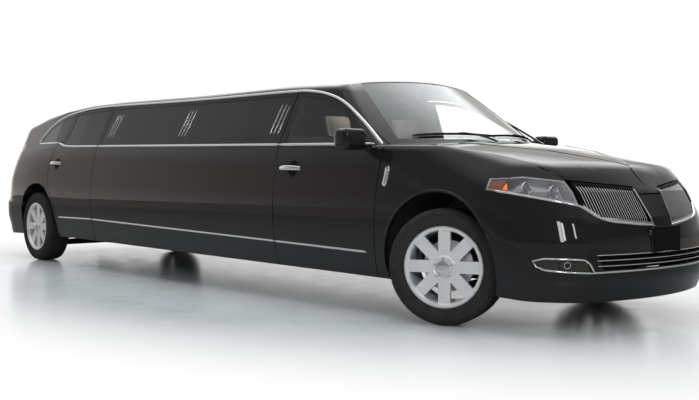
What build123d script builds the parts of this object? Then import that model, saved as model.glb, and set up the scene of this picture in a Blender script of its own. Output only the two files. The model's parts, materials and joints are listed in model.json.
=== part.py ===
from build123d import *
from collections import namedtuple
from math import cos, radians, sin, sqrt
import os

os.makedirs("parts", exist_ok=True)

# A stretched six-door-length saloon with a tailgate. Millimetres, +X ahead, +Y left, +Z up.
# The origin is on the ground, midway along the length and the width.

# Overall sizes
LENGTH = 8321.0
HALF_WIDTH = 965.0
ROOF_HEIGHT = 1712.0
WHEELBASE = 6043.0
FRONT_AXLE_X = 3110.0
REAR_AXLE_X = FRONT_AXLE_X - WHEELBASE
NOSE_X = LENGTH / 2
TAIL_X = -LENGTH / 2

# Gaps and wall thicknesses
SHUT_GAP = 7.0
SEAT_GAP = 0.3
WALL = 90.0
DOOR_SKIN = 45.0
DOOR_STEP = 18.0
FENDER_WALL = 25.0
TAIL_WALL = 32.0
FRAME_WALL = 40.0
FRAME_SKIN = 20.0
GLASS_INSET = 3.0
GLASS_THICKNESS = 5.0

# The body lines rise gently to the rear: height at x = 0 and slope
SILL_HEIGHT = 270.0
SILL_SLOPE = -0.0064
BELT_HEIGHT = 1196.0
BELT_SLOPE = -0.0165

# The side glass leans in: half width at LEAN_HEIGHT and lean per mm of height
LEAN_HALF_WIDTH = 893.0
LEAN_HEIGHT = 1200.0
LEAN = 0.445


def sill_z(x):
    return SILL_HEIGHT + SILL_SLOPE * x


def belt_z(x):
    return BELT_HEIGHT + BELT_SLOPE * x


def lean_y(z):
    return LEAN_HALF_WIDTH - LEAN * (z - LEAN_HEIGHT)


# Lower body sections, one row a station:
# place, sill height and half width, widest half width and its height,
# shoulder half width and height, crown height on the centre line
Lower = namedtuple("Lower", "x sill_z sill_y wide_y wide_z shoulder_y shoulder_z crown_z")
SILL_HALF_WIDTH = 905.0
WIDEST_HEIGHT = 680.0


def cabin_row(x):
    z = belt_z(x)
    return Lower(x, sill_z(x), SILL_HALF_WIDTH, HALF_WIDTH, WIDEST_HEIGHT, lean_y(z), z, z + 1)


FRONT_ROWS = [
    cabin_row(1300),
    cabin_row(2100),
    Lower(2600, 252, 905, 965, 680, 905, 1147, 1200),
    Lower(3050, 240, 905, 965, 680, 832, 1138, 1172),
    Lower(3467, 225, 900, 962, 670, 775, 1064, 1115),
    Lower(3814, 207, 870, 935, 650, 715, 985, 1036),
    Lower(4230, 200, 820, 890, 620, 640, 850, 890),
]
MID_ROWS = [cabin_row(1460), cabin_row(-1660)]
REAR_ROWS = [
    cabin_row(-1500),
    cabin_row(-2100),
    Lower(-2600, 284, 905, 965, 690, 868, 1240, 1241),
    Lower(-3200, 276, 900, 960, 700, 842, 1244, 1260),
    Lower(-3700, 262, 880, 925, 690, 795, 1215, 1264),
    Lower(-4250, 250, 830, 870, 660, 720, 1130, 1250),
]

# Greenhouse sections: place, inward taper, top of the leaning side, roof shoulder and crown heights
Upper = namedtuple("Upper", "x taper side_z shoulder_z crown_z")
SHOULDER_RUN = 69.0
UPPER_ROWS = [
    Upper(2850, 0, 1490, 1540, 1590),
    Upper(2000, 0, 1562, 1614, 1666),
    Upper(1300, 0, 1592, 1644, 1698),
    Upper(0, 0, 1600, 1649, 1704),
    Upper(-1500, 0, 1628, 1668, 1711),
    Upper(-2100, 0, 1625, 1667, ROOF_HEIGHT),
    Upper(-2700, 8, 1588, 1636, 1697),
    Upper(-3200, 40, 1530, 1588, 1656),
    Upper(-4000, 135, 1410, 1465, 1512),
]

# Plan outline of the nose and tail at each height: how far behind the tip it lies
Level = namedtuple("Level", "z back")
NOSE_LEVELS = [
    Level(150, 70), Level(320, 2), Level(440, 0), Level(560, 2),
    Level(690, 36), Level(850, 125), Level(1000, 262), Level(1300, 620),
]
TAIL_LEVELS = [
    Level(150, 110), Level(366, 60), Level(459, 4), Level(560, 0), Level(630, 10), Level(665, 75),
    Level(900, 110), Level(1075, 190), Level(1209, 235), Level(1500, 275), Level(1760, 420),
]
# Half outline behind the tip: end of the face arc, middle and end of the corner arc
Corner = namedtuple("Corner", "face_back face_y mid_back mid_y side_back side_y")
NOSE_CORNER = Corner(114, 650, 320, 840, 710, 975)
TAIL_CORNER = Corner(110, 620, 215, 815, 560, 975)

# Windscreen: a cylinder whose axis lies along the slope of the glass
SCREEN_FOOT = (2810.0, 1190.0)
SCREEN_TOP = (2110.0, 1640.0)
SCREEN_RADIUS = 2200.0

# Bright line along the top of the side glass, from the mirror corner to the tail tip
TOP_LINE = [
    (2581, 1146), (2437, 1240), (2252, 1350), (2015, 1478), (1799, 1545), (1594, 1577), (1391, 1590),
    (0, 1598), (-700, 1611), (-1521, 1627), (-1908, 1629), (-2301, 1612), (-2700, 1566), (-2950, 1482),
    (-3080, 1392), (-3170, 1292),
]

# Door and panel lines in side view
FRONT_HINGE_X = 2584.0
FRONT_DOOR_REAR_X = 1420.0
REAR_HINGE_X = -1618.0
REAR_FRAME_REAR_X = -2454.0
HINGE_Y = HALF_WIDTH + 2
ARCH_RADIUS = 472.0
REAR_DOOR_ARCH_RADIUS = 512.0
HUB_HEIGHT = 372.0


def leaning_face(t, row, open_floor, open_top):
    """Section of the lower body, drawn t inside the skin; open ends run on past the skin."""
    sill = (row.sill_y - t, row.sill_z)
    wide = (row.wide_y - t, row.wide_z)
    shoulder = (row.shoulder_y - t, row.shoulder_z if open_top or t == 0 else row.shoulder_z - t)
    crown = row.crown_z - (0 if open_top else t)
    with BuildSketch(Plane.YZ.offset(row.x)) as face:
        with BuildLine():
            for side in (1, -1):
                TangentArc((side * wide[0], wide[1]), (side * sill[0], sill[1]), tangent=(0, -1))
                TangentArc((side * wide[0], wide[1]), (side * shoulder[0], shoulder[1]), tangent=(0, 1))
                if open_floor:
                    Line((side * sill[0], sill[1]), (side * sill[0], sill[1] - 120))
                if open_top:
                    Line((side * shoulder[0], shoulder[1]), (side * shoulder[0], shoulder[1] + 60))
            floor = sill[1] - (120 if open_floor else 0)
            Line((-sill[0], floor), (sill[0], floor))
            if open_top:
                Line((-shoulder[0], shoulder[1] + 60), (shoulder[0], shoulder[1] + 60))
            else:
                ThreePointArc((-shoulder[0], shoulder[1]), (0, crown), (shoulder[0], shoulder[1]))
        make_face()
    return face.sketch


def lower_body(rows, t=0.0, open_floor=False, open_top=False):
    with BuildPart() as body:
        loft([leaning_face(t, row, open_floor, open_top) for row in rows], ruled=True)
    return body.part


def upper_face(t, row):
    foot_z = belt_z(row.x) - (20 if t == 0 else 90) - max(0, row.taper - 8)
    foot = (lean_y(foot_z) - row.taper - 1.094 * t, foot_z)
    side = (lean_y(row.side_z) - row.taper - 0.95 * t, row.side_z - 0.4 * t)
    shoulder = (lean_y(row.side_z) - row.taper - SHOULDER_RUN - 0.45 * t, row.shoulder_z - 0.9 * t)
    with BuildSketch(Plane.YZ.offset(row.x)) as face:
        with BuildLine():
            for s in (1, -1):
                Line((s * foot[0], foot[1]), (s * side[0], side[1]))
                TangentArc((s * side[0], side[1]), (s * shoulder[0], shoulder[1]), tangent=(-s * LEAN, 1))
            Line((-foot[0], foot[1]), (foot[0], foot[1]))
            ThreePointArc((-shoulder[0], shoulder[1]), (0, row.crown_z - t), (shoulder[0], shoulder[1]))
        make_face()
    return face.sketch


def screen_cylinder(radius, t=0.0):
    """The windscreen's cylinder, drawn t inside the glass."""
    run = SCREEN_TOP[0] - SCREEN_FOOT[0]
    rise = SCREEN_TOP[1] - SCREEN_FOOT[1]
    slope = sqrt(run * run + rise * rise)
    along = Vector(run / slope, 0, rise / slope)
    out = Vector(along.Z, 0, -along.X)
    start = Vector(SCREEN_FOOT[0], 0, SCREEN_FOOT[1]) - out * radius - along * 2500
    with BuildPart() as round_bar:
        with BuildSketch(Plane(origin=start, x_dir=(0, 1, 0), z_dir=along)):
            Circle(radius - t)
        extrude(amount=9500)
    return round_bar.part


def greenhouse(t=0.0):
    with BuildPart() as house:
        loft([upper_face(t, row) for row in UPPER_ROWS], ruled=True)
        add(screen_cylinder(SCREEN_RADIUS, t), mode=Mode.INTERSECT)
    return house.part


def plan_face(level, tip, sign, corner, t, middle):
    face_x = tip - sign * (level.back + corner.face_back)
    mid_x = tip - sign * (level.back + corner.mid_back)
    side_x = tip - sign * (level.back + corner.side_back)
    tip_x = tip - sign * level.back
    with BuildSketch(Plane.XY.offset(level.z)) as face:
        with BuildLine():
            ThreePointArc((face_x - sign * t, -corner.face_y + t / 2), (tip_x - sign * t, 0),
                          (face_x - sign * t, corner.face_y - t / 2))
            for s in (1, -1):
                ThreePointArc((face_x - sign * t, s * (corner.face_y - t / 2)),
                              (mid_x - sign * 0.7 * t, s * (corner.mid_y - 0.7 * t)),
                              (side_x, s * (corner.side_y - t)))
                Line((side_x, s * (corner.side_y - t)), (middle, s * (corner.side_y - t)))
            Line((middle, -corner.side_y + t), (middle, corner.side_y - t))
        make_face()
    return face.sketch


def nose_stack(t=0.0):
    with BuildPart() as stack:
        loft([plan_face(level, NOSE_X, 1, NOSE_CORNER, t, 1000) for level in NOSE_LEVELS], ruled=True)
    return stack.part


def tail_stack(t=0.0):
    with BuildPart() as stack:
        loft([plan_face(level, TAIL_X, -1, TAIL_CORNER, t, 3200) for level in TAIL_LEVELS], ruled=True)
    return stack.part


def side_prism(points, near=300.0, far=1400.0, grow=0.0):
    """Prism through the right side with the given outline in side view."""
    with BuildPart() as prism:
        with BuildSketch(Plane.XZ.offset(near)) as sketch:
            with BuildLine():
                Polyline(*points, close=True)
            make_face()
            if grow:
                offset(amount=grow, kind=Kind.INTERSECTION)
        extrude(amount=far - near)
    return prism.part


def front_prism(points, x_from, x_to, grow=0.0):
    """Prism along X with the given outline seen from the front, as (y, z)."""
    with BuildPart() as prism:
        with BuildSketch(Plane.YZ.offset(x_from)):
            with BuildLine():
                Polyline(*points, close=True)
            make_face()
            if grow:
                offset(amount=grow, kind=Kind.INTERSECTION)
        extrude(amount=x_to - x_from)
    return prism.part


def plan_prism(points, z_from, z_to, grow=0.0):
    with BuildPart() as prism:
        with BuildSketch(Plane.XY.offset(z_from)):
            with BuildLine():
                Polyline(*points, close=True)
            make_face()
            if grow:
                offset(amount=grow, kind=Kind.INTERSECTION)
        extrude(amount=z_to - z_from)
    return prism.part


def upright_cylinder(x, y, radius):
    with BuildPart() as post:
        with BuildSketch(Plane.XY.offset(-50)):
            with Locations((x, y)):
                Circle(radius)
        extrude(amount=2000)
    return post.part


def arch_cylinder(x, radius, near, far):
    with BuildPart() as drum:
        with BuildSketch(Plane.XZ.offset(near)):
            with Locations((x, HUB_HEIGHT)):
                Circle(radius)
        extrude(amount=far - near)
    return drum.part


def box_between(low, high):
    with BuildPart() as block:
        with BuildSketch(Plane.XY.offset(low[2])):
            with Locations(((low[0] + high[0]) / 2, (low[1] + high[1]) / 2)):
                Rectangle(high[0] - low[0], high[1] - low[1])
        extrude(amount=high[2] - low[2])
    return block.part


def save(part, name):
    part.label = name
    export_step(part, f"parts/{name}.step")


def save_mirrored(part, name):
    with BuildPart() as copy:
        mirror(part, about=Plane.XZ)
    save(copy.part, name)


# Basic volumes that the panels are cut from
front_skin = lower_body(FRONT_ROWS) & nose_stack()
front_core = lower_body(FRONT_ROWS, FENDER_WALL, open_floor=True) & nose_stack(FENDER_WALL)
front_shell = front_skin - front_core
rear_skin = lower_body(REAR_ROWS) & tail_stack()
mid_skin = lower_body(MID_ROWS)
upper_skin = greenhouse() & tail_stack()
upper_mid = greenhouse(FRAME_SKIN)
upper_core = greenhouse(FRAME_WALL) & tail_stack(TAIL_WALL)
pane_outer = greenhouse(GLASS_INSET)
pane_inner = greenhouse(GLASS_INSET + GLASS_THICKNESS)
FAR = 5000.0
WINDOW_FRAME = 30.0
BELT_FRAME = 14.0
above_belt = side_prism([(-FAR, belt_z(-FAR) + BELT_FRAME), (FAR, belt_z(FAR) + BELT_FRAME), (FAR, 3000), (-FAR, 3000)])
above_sill = side_prism([(-FAR, sill_z(-FAR) + 3), (FAR, sill_z(FAR) + 3), (FAR, 3000), (-FAR, 3000)])


def top_line(x_from, x_to, drop):
    """The bright line between two places, from front to rear, lowered by drop."""
    return [(x, z - drop) for x, z in TOP_LINE if x_to <= x <= x_from]


def top_z(x):
    for (x1, z1), (x0, z0) in zip(TOP_LINE, TOP_LINE[1:]):
        if x0 <= x <= x1:
            return z0 + (z1 - z0) * (x - x0) / (x1 - x0)
    return TOP_LINE[-1][1]


# Doors: an outer skin, a stepped inner panel and a window frame
def door_leaf(outline, skin, mid, core, post, window):
    with BuildPart() as leaf:
        add((skin & side_prism(outline)) - mid)
        add((mid & side_prism(outline, grow=-DOOR_STEP) & above_sill) - core)
        add(((upper_skin & side_prism(outline)) - upper_mid) - window)
        add(((upper_mid & side_prism(outline, grow=-DOOR_STEP)) - upper_core) - window)
        add(post, mode=Mode.INTERSECT)
    return leaf.part


def window_of(outline, frame=WINDOW_FRAME):
    return side_prism(outline, grow=-frame) & above_belt


def pane(window_outline, frame):
    opening = side_prism(window_outline, grow=-frame - SEAT_GAP)
    return ((pane_outer & opening) - pane_inner) & side_prism(
        [(-FAR, belt_z(-FAR) + BELT_FRAME + SEAT_GAP), (FAR, belt_z(FAR) + BELT_FRAME + SEAT_GAP), (FAR, 3000), (-FAR, 3000)])


FRONT_DOOR_EDGE = [(2530, 100), (2530, 300), (2555, 733), (2572, 960)]
front_door_outline = (
    [(FRONT_DOOR_REAR_X - 60, 100)] + FRONT_DOOR_EDGE + top_line(2581, 1391, SHUT_GAP)
    + [(FRONT_DOOR_REAR_X - 60, top_z(1360) - SHUT_GAP)]
)
front_post = upright_cylinder(FRONT_HINGE_X, -HINGE_Y, FRONT_HINGE_X - FRONT_DOOR_REAR_X)
front_window_outline = [
    (FRONT_DOOR_REAR_X + 26, 1000), (2560, 1000)] + top_line(2581, 1391, SHUT_GAP)[:-1] + [
    (FRONT_DOOR_REAR_X + 50, top_z(1460) - SHUT_GAP)]
front_window = window_of(front_window_outline)
door_mid = lower_body(FRONT_ROWS[:4], DOOR_SKIN, open_floor=True, open_top=True)
door_core = lower_body(FRONT_ROWS[:4], WALL, open_floor=True, open_top=True)
front_leaf = door_leaf(front_door_outline, front_skin, door_mid, door_core, front_post, front_window)

# Door mirror: a rounded housing on a short foot below the front corner of the window
MIRROR_LOW = (2362.0, -1165.0, 1118.0)
MIRROR_HIGH = (2498.0, -968.0, 1262.0)
MIRROR_ROUND = 38.0
mirror_block = box_between(MIRROR_LOW, MIRROR_HIGH)
mirror_housing = fillet(mirror_block.edges(), MIRROR_ROUND)
mirror_foot = box_between((2395, -1010, 1126), (2475, -880, 1158))
front_door = front_leaf + (mirror_foot + mirror_housing)

# Rear door: its rear edge kinks at the belt and then follows the wheel arch
REAR_KINK = [(-2588, 1284), (-2656, 1110), (-2670, 930)]
ARCH_ANGLES = [50, 35, 20, 8]


def arch_point(radius, angle):
    return (REAR_AXLE_X + radius * cos(radians(angle)), HUB_HEIGHT + radius * sin(radians(angle)))


rear_edge = REAR_KINK + [arch_point(REAR_DOOR_ARCH_RADIUS, a) for a in ARCH_ANGLES] + [(-2426, 300), (-2426, 100)]
front_of_rear_door = REAR_HINGE_X - SHUT_GAP / 2
rear_door_outline = (
    [(front_of_rear_door, 100), (front_of_rear_door, top_z(-1621) - SHUT_GAP)]
    + top_line(-1700, -2400, SHUT_GAP) + [(-2425, top_z(-2425) - SHUT_GAP), (REAR_FRAME_REAR_X, 1284)] + rear_edge
)
rear_frame_radius = sqrt((REAR_HINGE_X - REAR_FRAME_REAR_X) ** 2 + (HINGE_Y - lean_y(1284)) ** 2)
rear_post = (
    upright_cylinder(REAR_HINGE_X, -HINGE_Y, rear_frame_radius)
    + side_prism([(-3000, 0), (-1000, 0), (-1000, 1284), (-3000, 1284)])
)
rear_window_outline = (
    [(front_of_rear_door, 1000), (front_of_rear_door, top_z(-1621) - SHUT_GAP)]
    + top_line(-1700, -2400, SHUT_GAP)
    + [(-2388, top_z(-2388) - SHUT_GAP), (REAR_FRAME_REAR_X + 8, 1284), (REAR_FRAME_REAR_X + 8, 1000)]
)
rear_window = window_of(rear_window_outline)
rear_mid = lower_body(REAR_ROWS, DOOR_SKIN, open_floor=True, open_top=True)
rear_core = lower_body(REAR_ROWS, WALL, open_floor=True, open_top=True) & tail_stack(TAIL_WALL)
rear_door = door_leaf(rear_door_outline, rear_skin, rear_mid, rear_core, rear_post, rear_window)

# Stretch panel between the doors, with its pillars and window opening
side_front_x = FRONT_DOOR_REAR_X - SHUT_GAP
side_rear_x = REAR_HINGE_X + SHUT_GAP / 2
side_outline = (
    [(side_rear_x, 100), (side_front_x, 100), (side_front_x, belt_z(side_front_x)), (side_front_x + 16, top_z(1436) - SEAT_GAP)]
    + top_line(1391, -1600, SEAT_GAP) + [(side_rear_x, top_z(side_rear_x) - SEAT_GAP)]
)
side_window_outline = (
    [(side_rear_x + 10, 1000), (side_front_x - 10, 1000), (side_front_x - 10, top_z(1400) - SEAT_GAP)]
    + top_line(1391, -1600, SEAT_GAP) + [(side_rear_x + 10, top_z(side_rear_x) - SEAT_GAP)]
)
side_window = window_of(side_window_outline)
side_core = lower_body(MID_ROWS, WALL, open_floor=True, open_top=True)
with BuildPart() as side_panel:
    add((mid_skin & side_prism(side_outline)) - side_core)
    add(((upper_skin & side_prism(side_outline)) - upper_core) - side_window)

# Rear quarter: arch, tail corner, tailgate buffer, and the frame of the small rear window
quarter_front = [(x - SHUT_GAP - 3, z) for x, z in REAR_KINK]
quarter_arch = [arch_point(REAR_DOOR_ARCH_RADIUS - SHUT_GAP, a) for a in ARCH_ANGLES] + [(-2433, 300), (-2433, 100)]
quarter_top = top_line(-2500, -3170, SEAT_GAP)
quarter_outline = (
    [(-4300, 100), (-4300, 1292)] + quarter_top[::-1] + [(-2432, top_z(-2432) - SEAT_GAP), (REAR_FRAME_REAR_X - SHUT_GAP, 1294)]
    + [(quarter_front[0][0], 1294)] + quarter_front + quarter_arch
)
quarter_window_outline = (
    [(REAR_FRAME_REAR_X - 14, 1262), (-2440, top_z(-2440) - SEAT_GAP)] + quarter_top[:-1] + [(-3150, 1305), (-3060, 1262)]
)
quarter_window = side_prism(quarter_window_outline, grow=-WINDOW_FRAME)
GATE_HALF_WIDTH = 700.0
GATE_FRONT_X = -3640.0
GATE_BOTTOM_Z = 700.0
GATE_BUFFER_X = -3975.0
GATE_BUFFER_Y = 560.0
GATE_BUFFER_RADIUS = 14.0
GATE_BUFFER_HEIGHT = 24.0
GATE_OUTLINE = [(-700, GATE_BOTTOM_Z), (700, GATE_BOTTOM_Z), (700, 1180), (600, 1760), (-600, 1760), (-700, 1180)]
BUMPER_TOP_Z = 668.0
BUMPER_FRONT_X = -3500.0
gate_space = front_prism(GATE_OUTLINE, -4400, GATE_FRONT_X + SHUT_GAP, grow=SHUT_GAP)
quarter_core = (lower_body(REAR_ROWS, WALL, open_floor=True, open_top=True) & tail_stack(TAIL_WALL)) + upper_core
rear_arch = arch_cylinder(REAR_AXLE_X, ARCH_RADIUS, 0, 1400)
bumper_block = box_between((-4400, -1200, 0), (BUMPER_FRONT_X, 1200, BUMPER_TOP_Z))
LAMP_OUTLINE = [(-706, 905), (-706, 1075), (-1000, 1105), (-1000, 925)]
tail_lamp_space = front_prism(LAMP_OUTLINE, -4400, -3690)
with BuildPart() as quarter:
    add((rear_skin + upper_skin) & side_prism(quarter_outline, near=0))
    add(quarter_core, mode=Mode.SUBTRACT)
    add(quarter_window, mode=Mode.SUBTRACT)
    add(rear_arch, mode=Mode.SUBTRACT)
    add(gate_space, mode=Mode.SUBTRACT)
    add(box_between((-4400, -1200, 0), (BUMPER_FRONT_X + SEAT_GAP, 1200, BUMPER_TOP_Z + SEAT_GAP)), mode=Mode.SUBTRACT)
    add(tail_lamp_space, mode=Mode.SUBTRACT)
    with Locations((GATE_BUFFER_X, -GATE_BUFFER_Y, GATE_BOTTOM_Z - SEAT_GAP - GATE_BUFFER_HEIGHT / 2)):
        Cylinder(GATE_BUFFER_RADIUS, GATE_BUFFER_HEIGHT)

# Roof with the windscreen pillars and tail pillars, cut for the screen and the tailgate
SCREEN_CORNER = (2560.0, 745.0)
SCREEN_HEAD = (1985.0, 575.0)
SCREEN_GAP = 4.0


def screen_prism(grow):
    with BuildPart() as prism:
        with BuildSketch(Plane.XY.offset(1000)):
            with BuildLine():
                ThreePointArc((SCREEN_CORNER[0], -SCREEN_CORNER[1]), (SCREEN_FOOT[0] - 18, 0), SCREEN_CORNER)
                ThreePointArc((SCREEN_HEAD[0], -SCREEN_HEAD[1]), (SCREEN_TOP[0] - 25, 0), SCREEN_HEAD)
                for s in (1, -1):
                    Line((SCREEN_CORNER[0], s * SCREEN_CORNER[1]), (SCREEN_HEAD[0], s * SCREEN_HEAD[1]))
            make_face()
            if grow:
                offset(amount=grow)
        extrude(amount=900)
    return prism.part


roof_side = [(2700, 1000), (2640, 1100)] + TOP_LINE[:-1] + [(-3170, 1292), (-4300, 1292), (-4300, 900), (2700, 900)]
below_roof = side_prism(roof_side, near=0) + mirror(side_prism(roof_side, near=0), about=Plane.XZ)
with BuildPart() as roof:
    add(upper_skin - upper_core)
    add(below_roof, mode=Mode.SUBTRACT)
    add(screen_prism(0), mode=Mode.SUBTRACT)
    add(gate_space, mode=Mode.SUBTRACT)
    add(front_skin, mode=Mode.SUBTRACT)
roof_part = roof.part.solids().sort_by(SortBy.VOLUME)[-1]

screen_layer = (pane_outer - pane_inner) & screen_prism(-SEAT_GAP)
windscreen = screen_layer.solids().sort_by(SortBy.VOLUME)[-1]

# Nose: bonnet, wings, bumper and the openings for lamps and grille
HOOD_REAR_CORNER = (2640.0, 795.0)
HOOD_REAR_CENTRE = 2862.0
HOOD_SIDE = [(2640, 795), (3050, 765), (3467, 740), (3742, 702), (3870, 618), (4005, 145), (4045, 131), (4250, 131)]
HOOD_HINGE = (2622.0, 1206.0)
NOSE_EDGE = [(960, 975), (905, 955), (800, 953), (640, 927), (600, 921), (138, 882), (129, 838)]
LAMP_EDGE = [(1000, 861), (925, 861), (800, 819), (635, 777), (621, 765), (525, 689), (98, 648), (129, 830)]
HEADLAMP = [(-635, 919), (-800, 946), (-925, 931), (-925, 861), (-800, 819), (-635, 777)]
HEADLAMP_REAR_X = 3492.0
LAMP_CORNER_Z = 861.0 + SEAT_GAP
WING = [(-137, 874), (-600, 913), (-621, 765), (-525, 689), (-98, 648)]
BUMPER_SHUT = [(3478, 100), (3478, 560), (3505, 700), (3550, 850), (3550, 1300)]
FENDER_REAR = [(2537, 100), (2537, 300), (2562, 733), (2579, 960), (2588, 1073), (2588, 1400)]


def mirrored_points(points):
    return points + [(-x, z) for x, z in points[::-1]]


def hood_prism(grow):
    side = [(x, -y) for x, y in HOOD_SIDE]
    with BuildPart() as prism:
        with BuildSketch(Plane.XY.offset(600)):
            with BuildLine():
                ThreePointArc((side[0][0], side[0][1]), (HOOD_REAR_CENTRE, 0), (side[0][0], -side[0][1]))
                Polyline(*side)
                Polyline(*[(x, -y) for x, y in side])
                Line(side[-1], (side[-1][0], -side[-1][1]))
            make_face()
            if grow:
                offset(amount=grow)
        extrude(amount=800)
    return prism.part


above_nose_edge = front_prism(
    mirrored_points(NOSE_EDGE) + [(-960, 1400), (960, 1400)], 2400, 4400)
above_nose_gap = front_prism(
    mirrored_points(NOSE_EDGE) + [(-960, 1400), (960, 1400)], 2400, 4400, grow=SHUT_GAP)
below_lamps = front_prism(
    mirrored_points(LAMP_EDGE) + [(-1000, 100), (1000, 100)], 3300, 4400)
with BuildPart() as hood:
    add(front_shell & hood_prism(0))
    add(above_nose_edge, mode=Mode.INTERSECT)

front_arch = arch_cylinder(FRONT_AXLE_X, ARCH_RADIUS, 0, 1400)
lamp_space = front_prism(HEADLAMP, HEADLAMP_REAR_X, 4400)
wing_space = front_prism(WING, 3600, 4400)
bumper_zone = side_prism(BUMPER_SHUT + [(4400, 1300), (4400, 100)], near=-1400)
fender_zone = side_prism(FENDER_REAR + [(4400, 1400), (4400, 100)], near=0)
hood_gap = hood_prism(SHUT_GAP) & above_nose_gap
with BuildPart() as fender:
    add(front_shell & fender_zone)
    add(hood_gap, mode=Mode.SUBTRACT)
    add(front_arch, mode=Mode.SUBTRACT)
    add(lamp_space, mode=Mode.SUBTRACT)
    add(bumper_zone & front_prism([(-2000, 0), (2000, 0), (2000, LAMP_CORNER_Z), (-2000, LAMP_CORNER_Z)], 3300, 4400), mode=Mode.SUBTRACT)
    add(box_between((HOOD_REAR_CENTRE - 200, -640, 600), (4400, 640, 1400)), mode=Mode.SUBTRACT)
    add(box_between((2400, -780, 600), (2900, 780, 1400)), mode=Mode.SUBTRACT)
fender_part = fender.part.solids().sort_by(SortBy.VOLUME)[-1]

# Front bumper with its two openings, fog lamp pockets and number plate pad
INTAKE = [(-585, 478), (-548, 396), (548, 396), (585, 478)]
FOG = [(-872, 468), (-846, 398), (-610, 384), (-655, 456)]
PLATE_WIDTH = 320.0
PLATE_HEIGHT = 170.0
PLATE_Z = 556.0
PLATE_HOLE_SPACING = 177.8
PLATE_HOLE_RADIUS = 3.5
fog_space = front_prism(FOG, 3500, 4400)
intake_space = front_prism(INTAKE, 3500, 4400)
with BuildPart() as front_bumper:
    add(front_shell & box_between((3300, -1200, 0), (4400, 1200, 900)))
    add(bumper_zone, mode=Mode.INTERSECT)
    add(below_lamps, mode=Mode.INTERSECT)
    add(front_arch, mode=Mode.SUBTRACT)
    add(mirror(front_arch, about=Plane.XZ), mode=Mode.SUBTRACT)
    add(intake_space, mode=Mode.SUBTRACT)
    add(fog_space, mode=Mode.SUBTRACT)
    add(mirror(fog_space, about=Plane.XZ), mode=Mode.SUBTRACT)
    add(box_between((NOSE_X - 20, -PLATE_WIDTH / 2, PLATE_Z - PLATE_HEIGHT / 2 + 10),
                    (NOSE_X, PLATE_WIDTH / 2, PLATE_Z + PLATE_HEIGHT / 2)))
    with Locations(*[Location((NOSE_X - 40, s * PLATE_HOLE_SPACING / 2, PLATE_Z + 40), (0, 90, 0)) for s in (1, -1)]):
        Cylinder(PLATE_HOLE_RADIUS, 200, mode=Mode.SUBTRACT)
bumper_part = front_bumper.part.solids().sort_by(SortBy.VOLUME)[-1]

# Headlamps: a bowl behind a clear cover that follows the skin
LENS_INSET = 2.0
LENS_THICKNESS = 4.0
LAMP_DEPTH = 75.0
LAMP_RIM = 12.0


def nose_layer(t):
    return lower_body(FRONT_ROWS[3:], t) & nose_stack(t)


layer_lens_out = nose_layer(LENS_INSET)
layer_lens_in = nose_layer(LENS_INSET + LENS_THICKNESS)
layer_bowl = nose_layer(LAMP_DEPTH)
layer_bowl_floor = nose_layer(LAMP_DEPTH - 12)
lamp_body_space = front_prism(HEADLAMP, HEADLAMP_REAR_X + 1, 4400, grow=-SEAT_GAP)
lamp_bowl_space = front_prism(HEADLAMP, HEADLAMP_REAR_X + 14, 4400, grow=-LAMP_RIM)
headlamp_lens = (layer_lens_out & lamp_body_space) - layer_lens_in
with BuildPart() as headlamp:
    add((nose_layer(LENS_INSET + LENS_THICKNESS + SEAT_GAP) & lamp_body_space) - layer_bowl)
    add(lamp_bowl_space - layer_bowl_floor, mode=Mode.SUBTRACT)

# Grille: two wings of upright bars in a bright surround, carried by the bumper and bonnet edge
BAR_PITCH = 19.5
BAR_WIDTH = 8.0
BAR_COUNT = 24
BAR_START_Y = 150.0
BAR_INSET = 9.0
WING_RIM = 15.0
WING_DEPTH = 34.0
FACE_RADIUS = (NOSE_CORNER.face_y ** 2 + NOSE_CORNER.face_back ** 2) / (2 * NOSE_CORNER.face_back)


def nose_x(y, z):
    """Place of the nose surface between the corner arcs."""
    for low, high in zip(NOSE_LEVELS, NOSE_LEVELS[1:]):
        if low.z <= z <= high.z:
            back = low.back + (high.back - low.back) * (z - low.z) / (high.z - low.z)
    return NOSE_X - back - FACE_RADIUS + sqrt(FACE_RADIUS ** 2 - y * y)


def edge_z(points, y):
    """Height at half width y on a line of (y, z) points."""
    for (y0, z0), (y1, z1) in zip(points, points[1:]):
        if min(y0, y1) <= y <= max(y0, y1):
            return z0 + (z1 - z0) * (y - y0) / (y1 - y0)


wing_body = front_prism(WING, 3600, 4400, grow=-SEAT_GAP)
wing_inside = front_prism(WING, 3600, 4400, grow=-WING_RIM)
layer_wing_back = nose_layer(WING_DEPTH)
wing_shell = (layer_lens_out & wing_body) - layer_wing_back
with BuildPart() as grille:
    add(wing_shell - wing_inside)
    for i in range(BAR_COUNT):
        y = BAR_START_Y + BAR_PITCH * i
        low = edge_z([(98, 648), (525, 689), (621, 765)], y) + WING_RIM - 4
        high = edge_z([(137, 874), (600, 913)], min(y, 600)) - WING_RIM + 4
        heights = [low] + [level.z for level in NOSE_LEVELS if low < level.z < high] + [high]
        front = [(nose_x(y, z) - BAR_INSET, z) for z in heights]
        back = [(x - WING_DEPTH + BAR_INSET + 4, z) for x, z in front]
        with BuildSketch(Plane.XZ.offset(y - BAR_WIDTH / 2)):
            with BuildLine():
                Polyline(*front, *back[::-1], close=True)
            make_face()
        extrude(amount=BAR_WIDTH)
grille_part = grille.part + mirror(grille.part, about=Plane.XZ)

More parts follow.
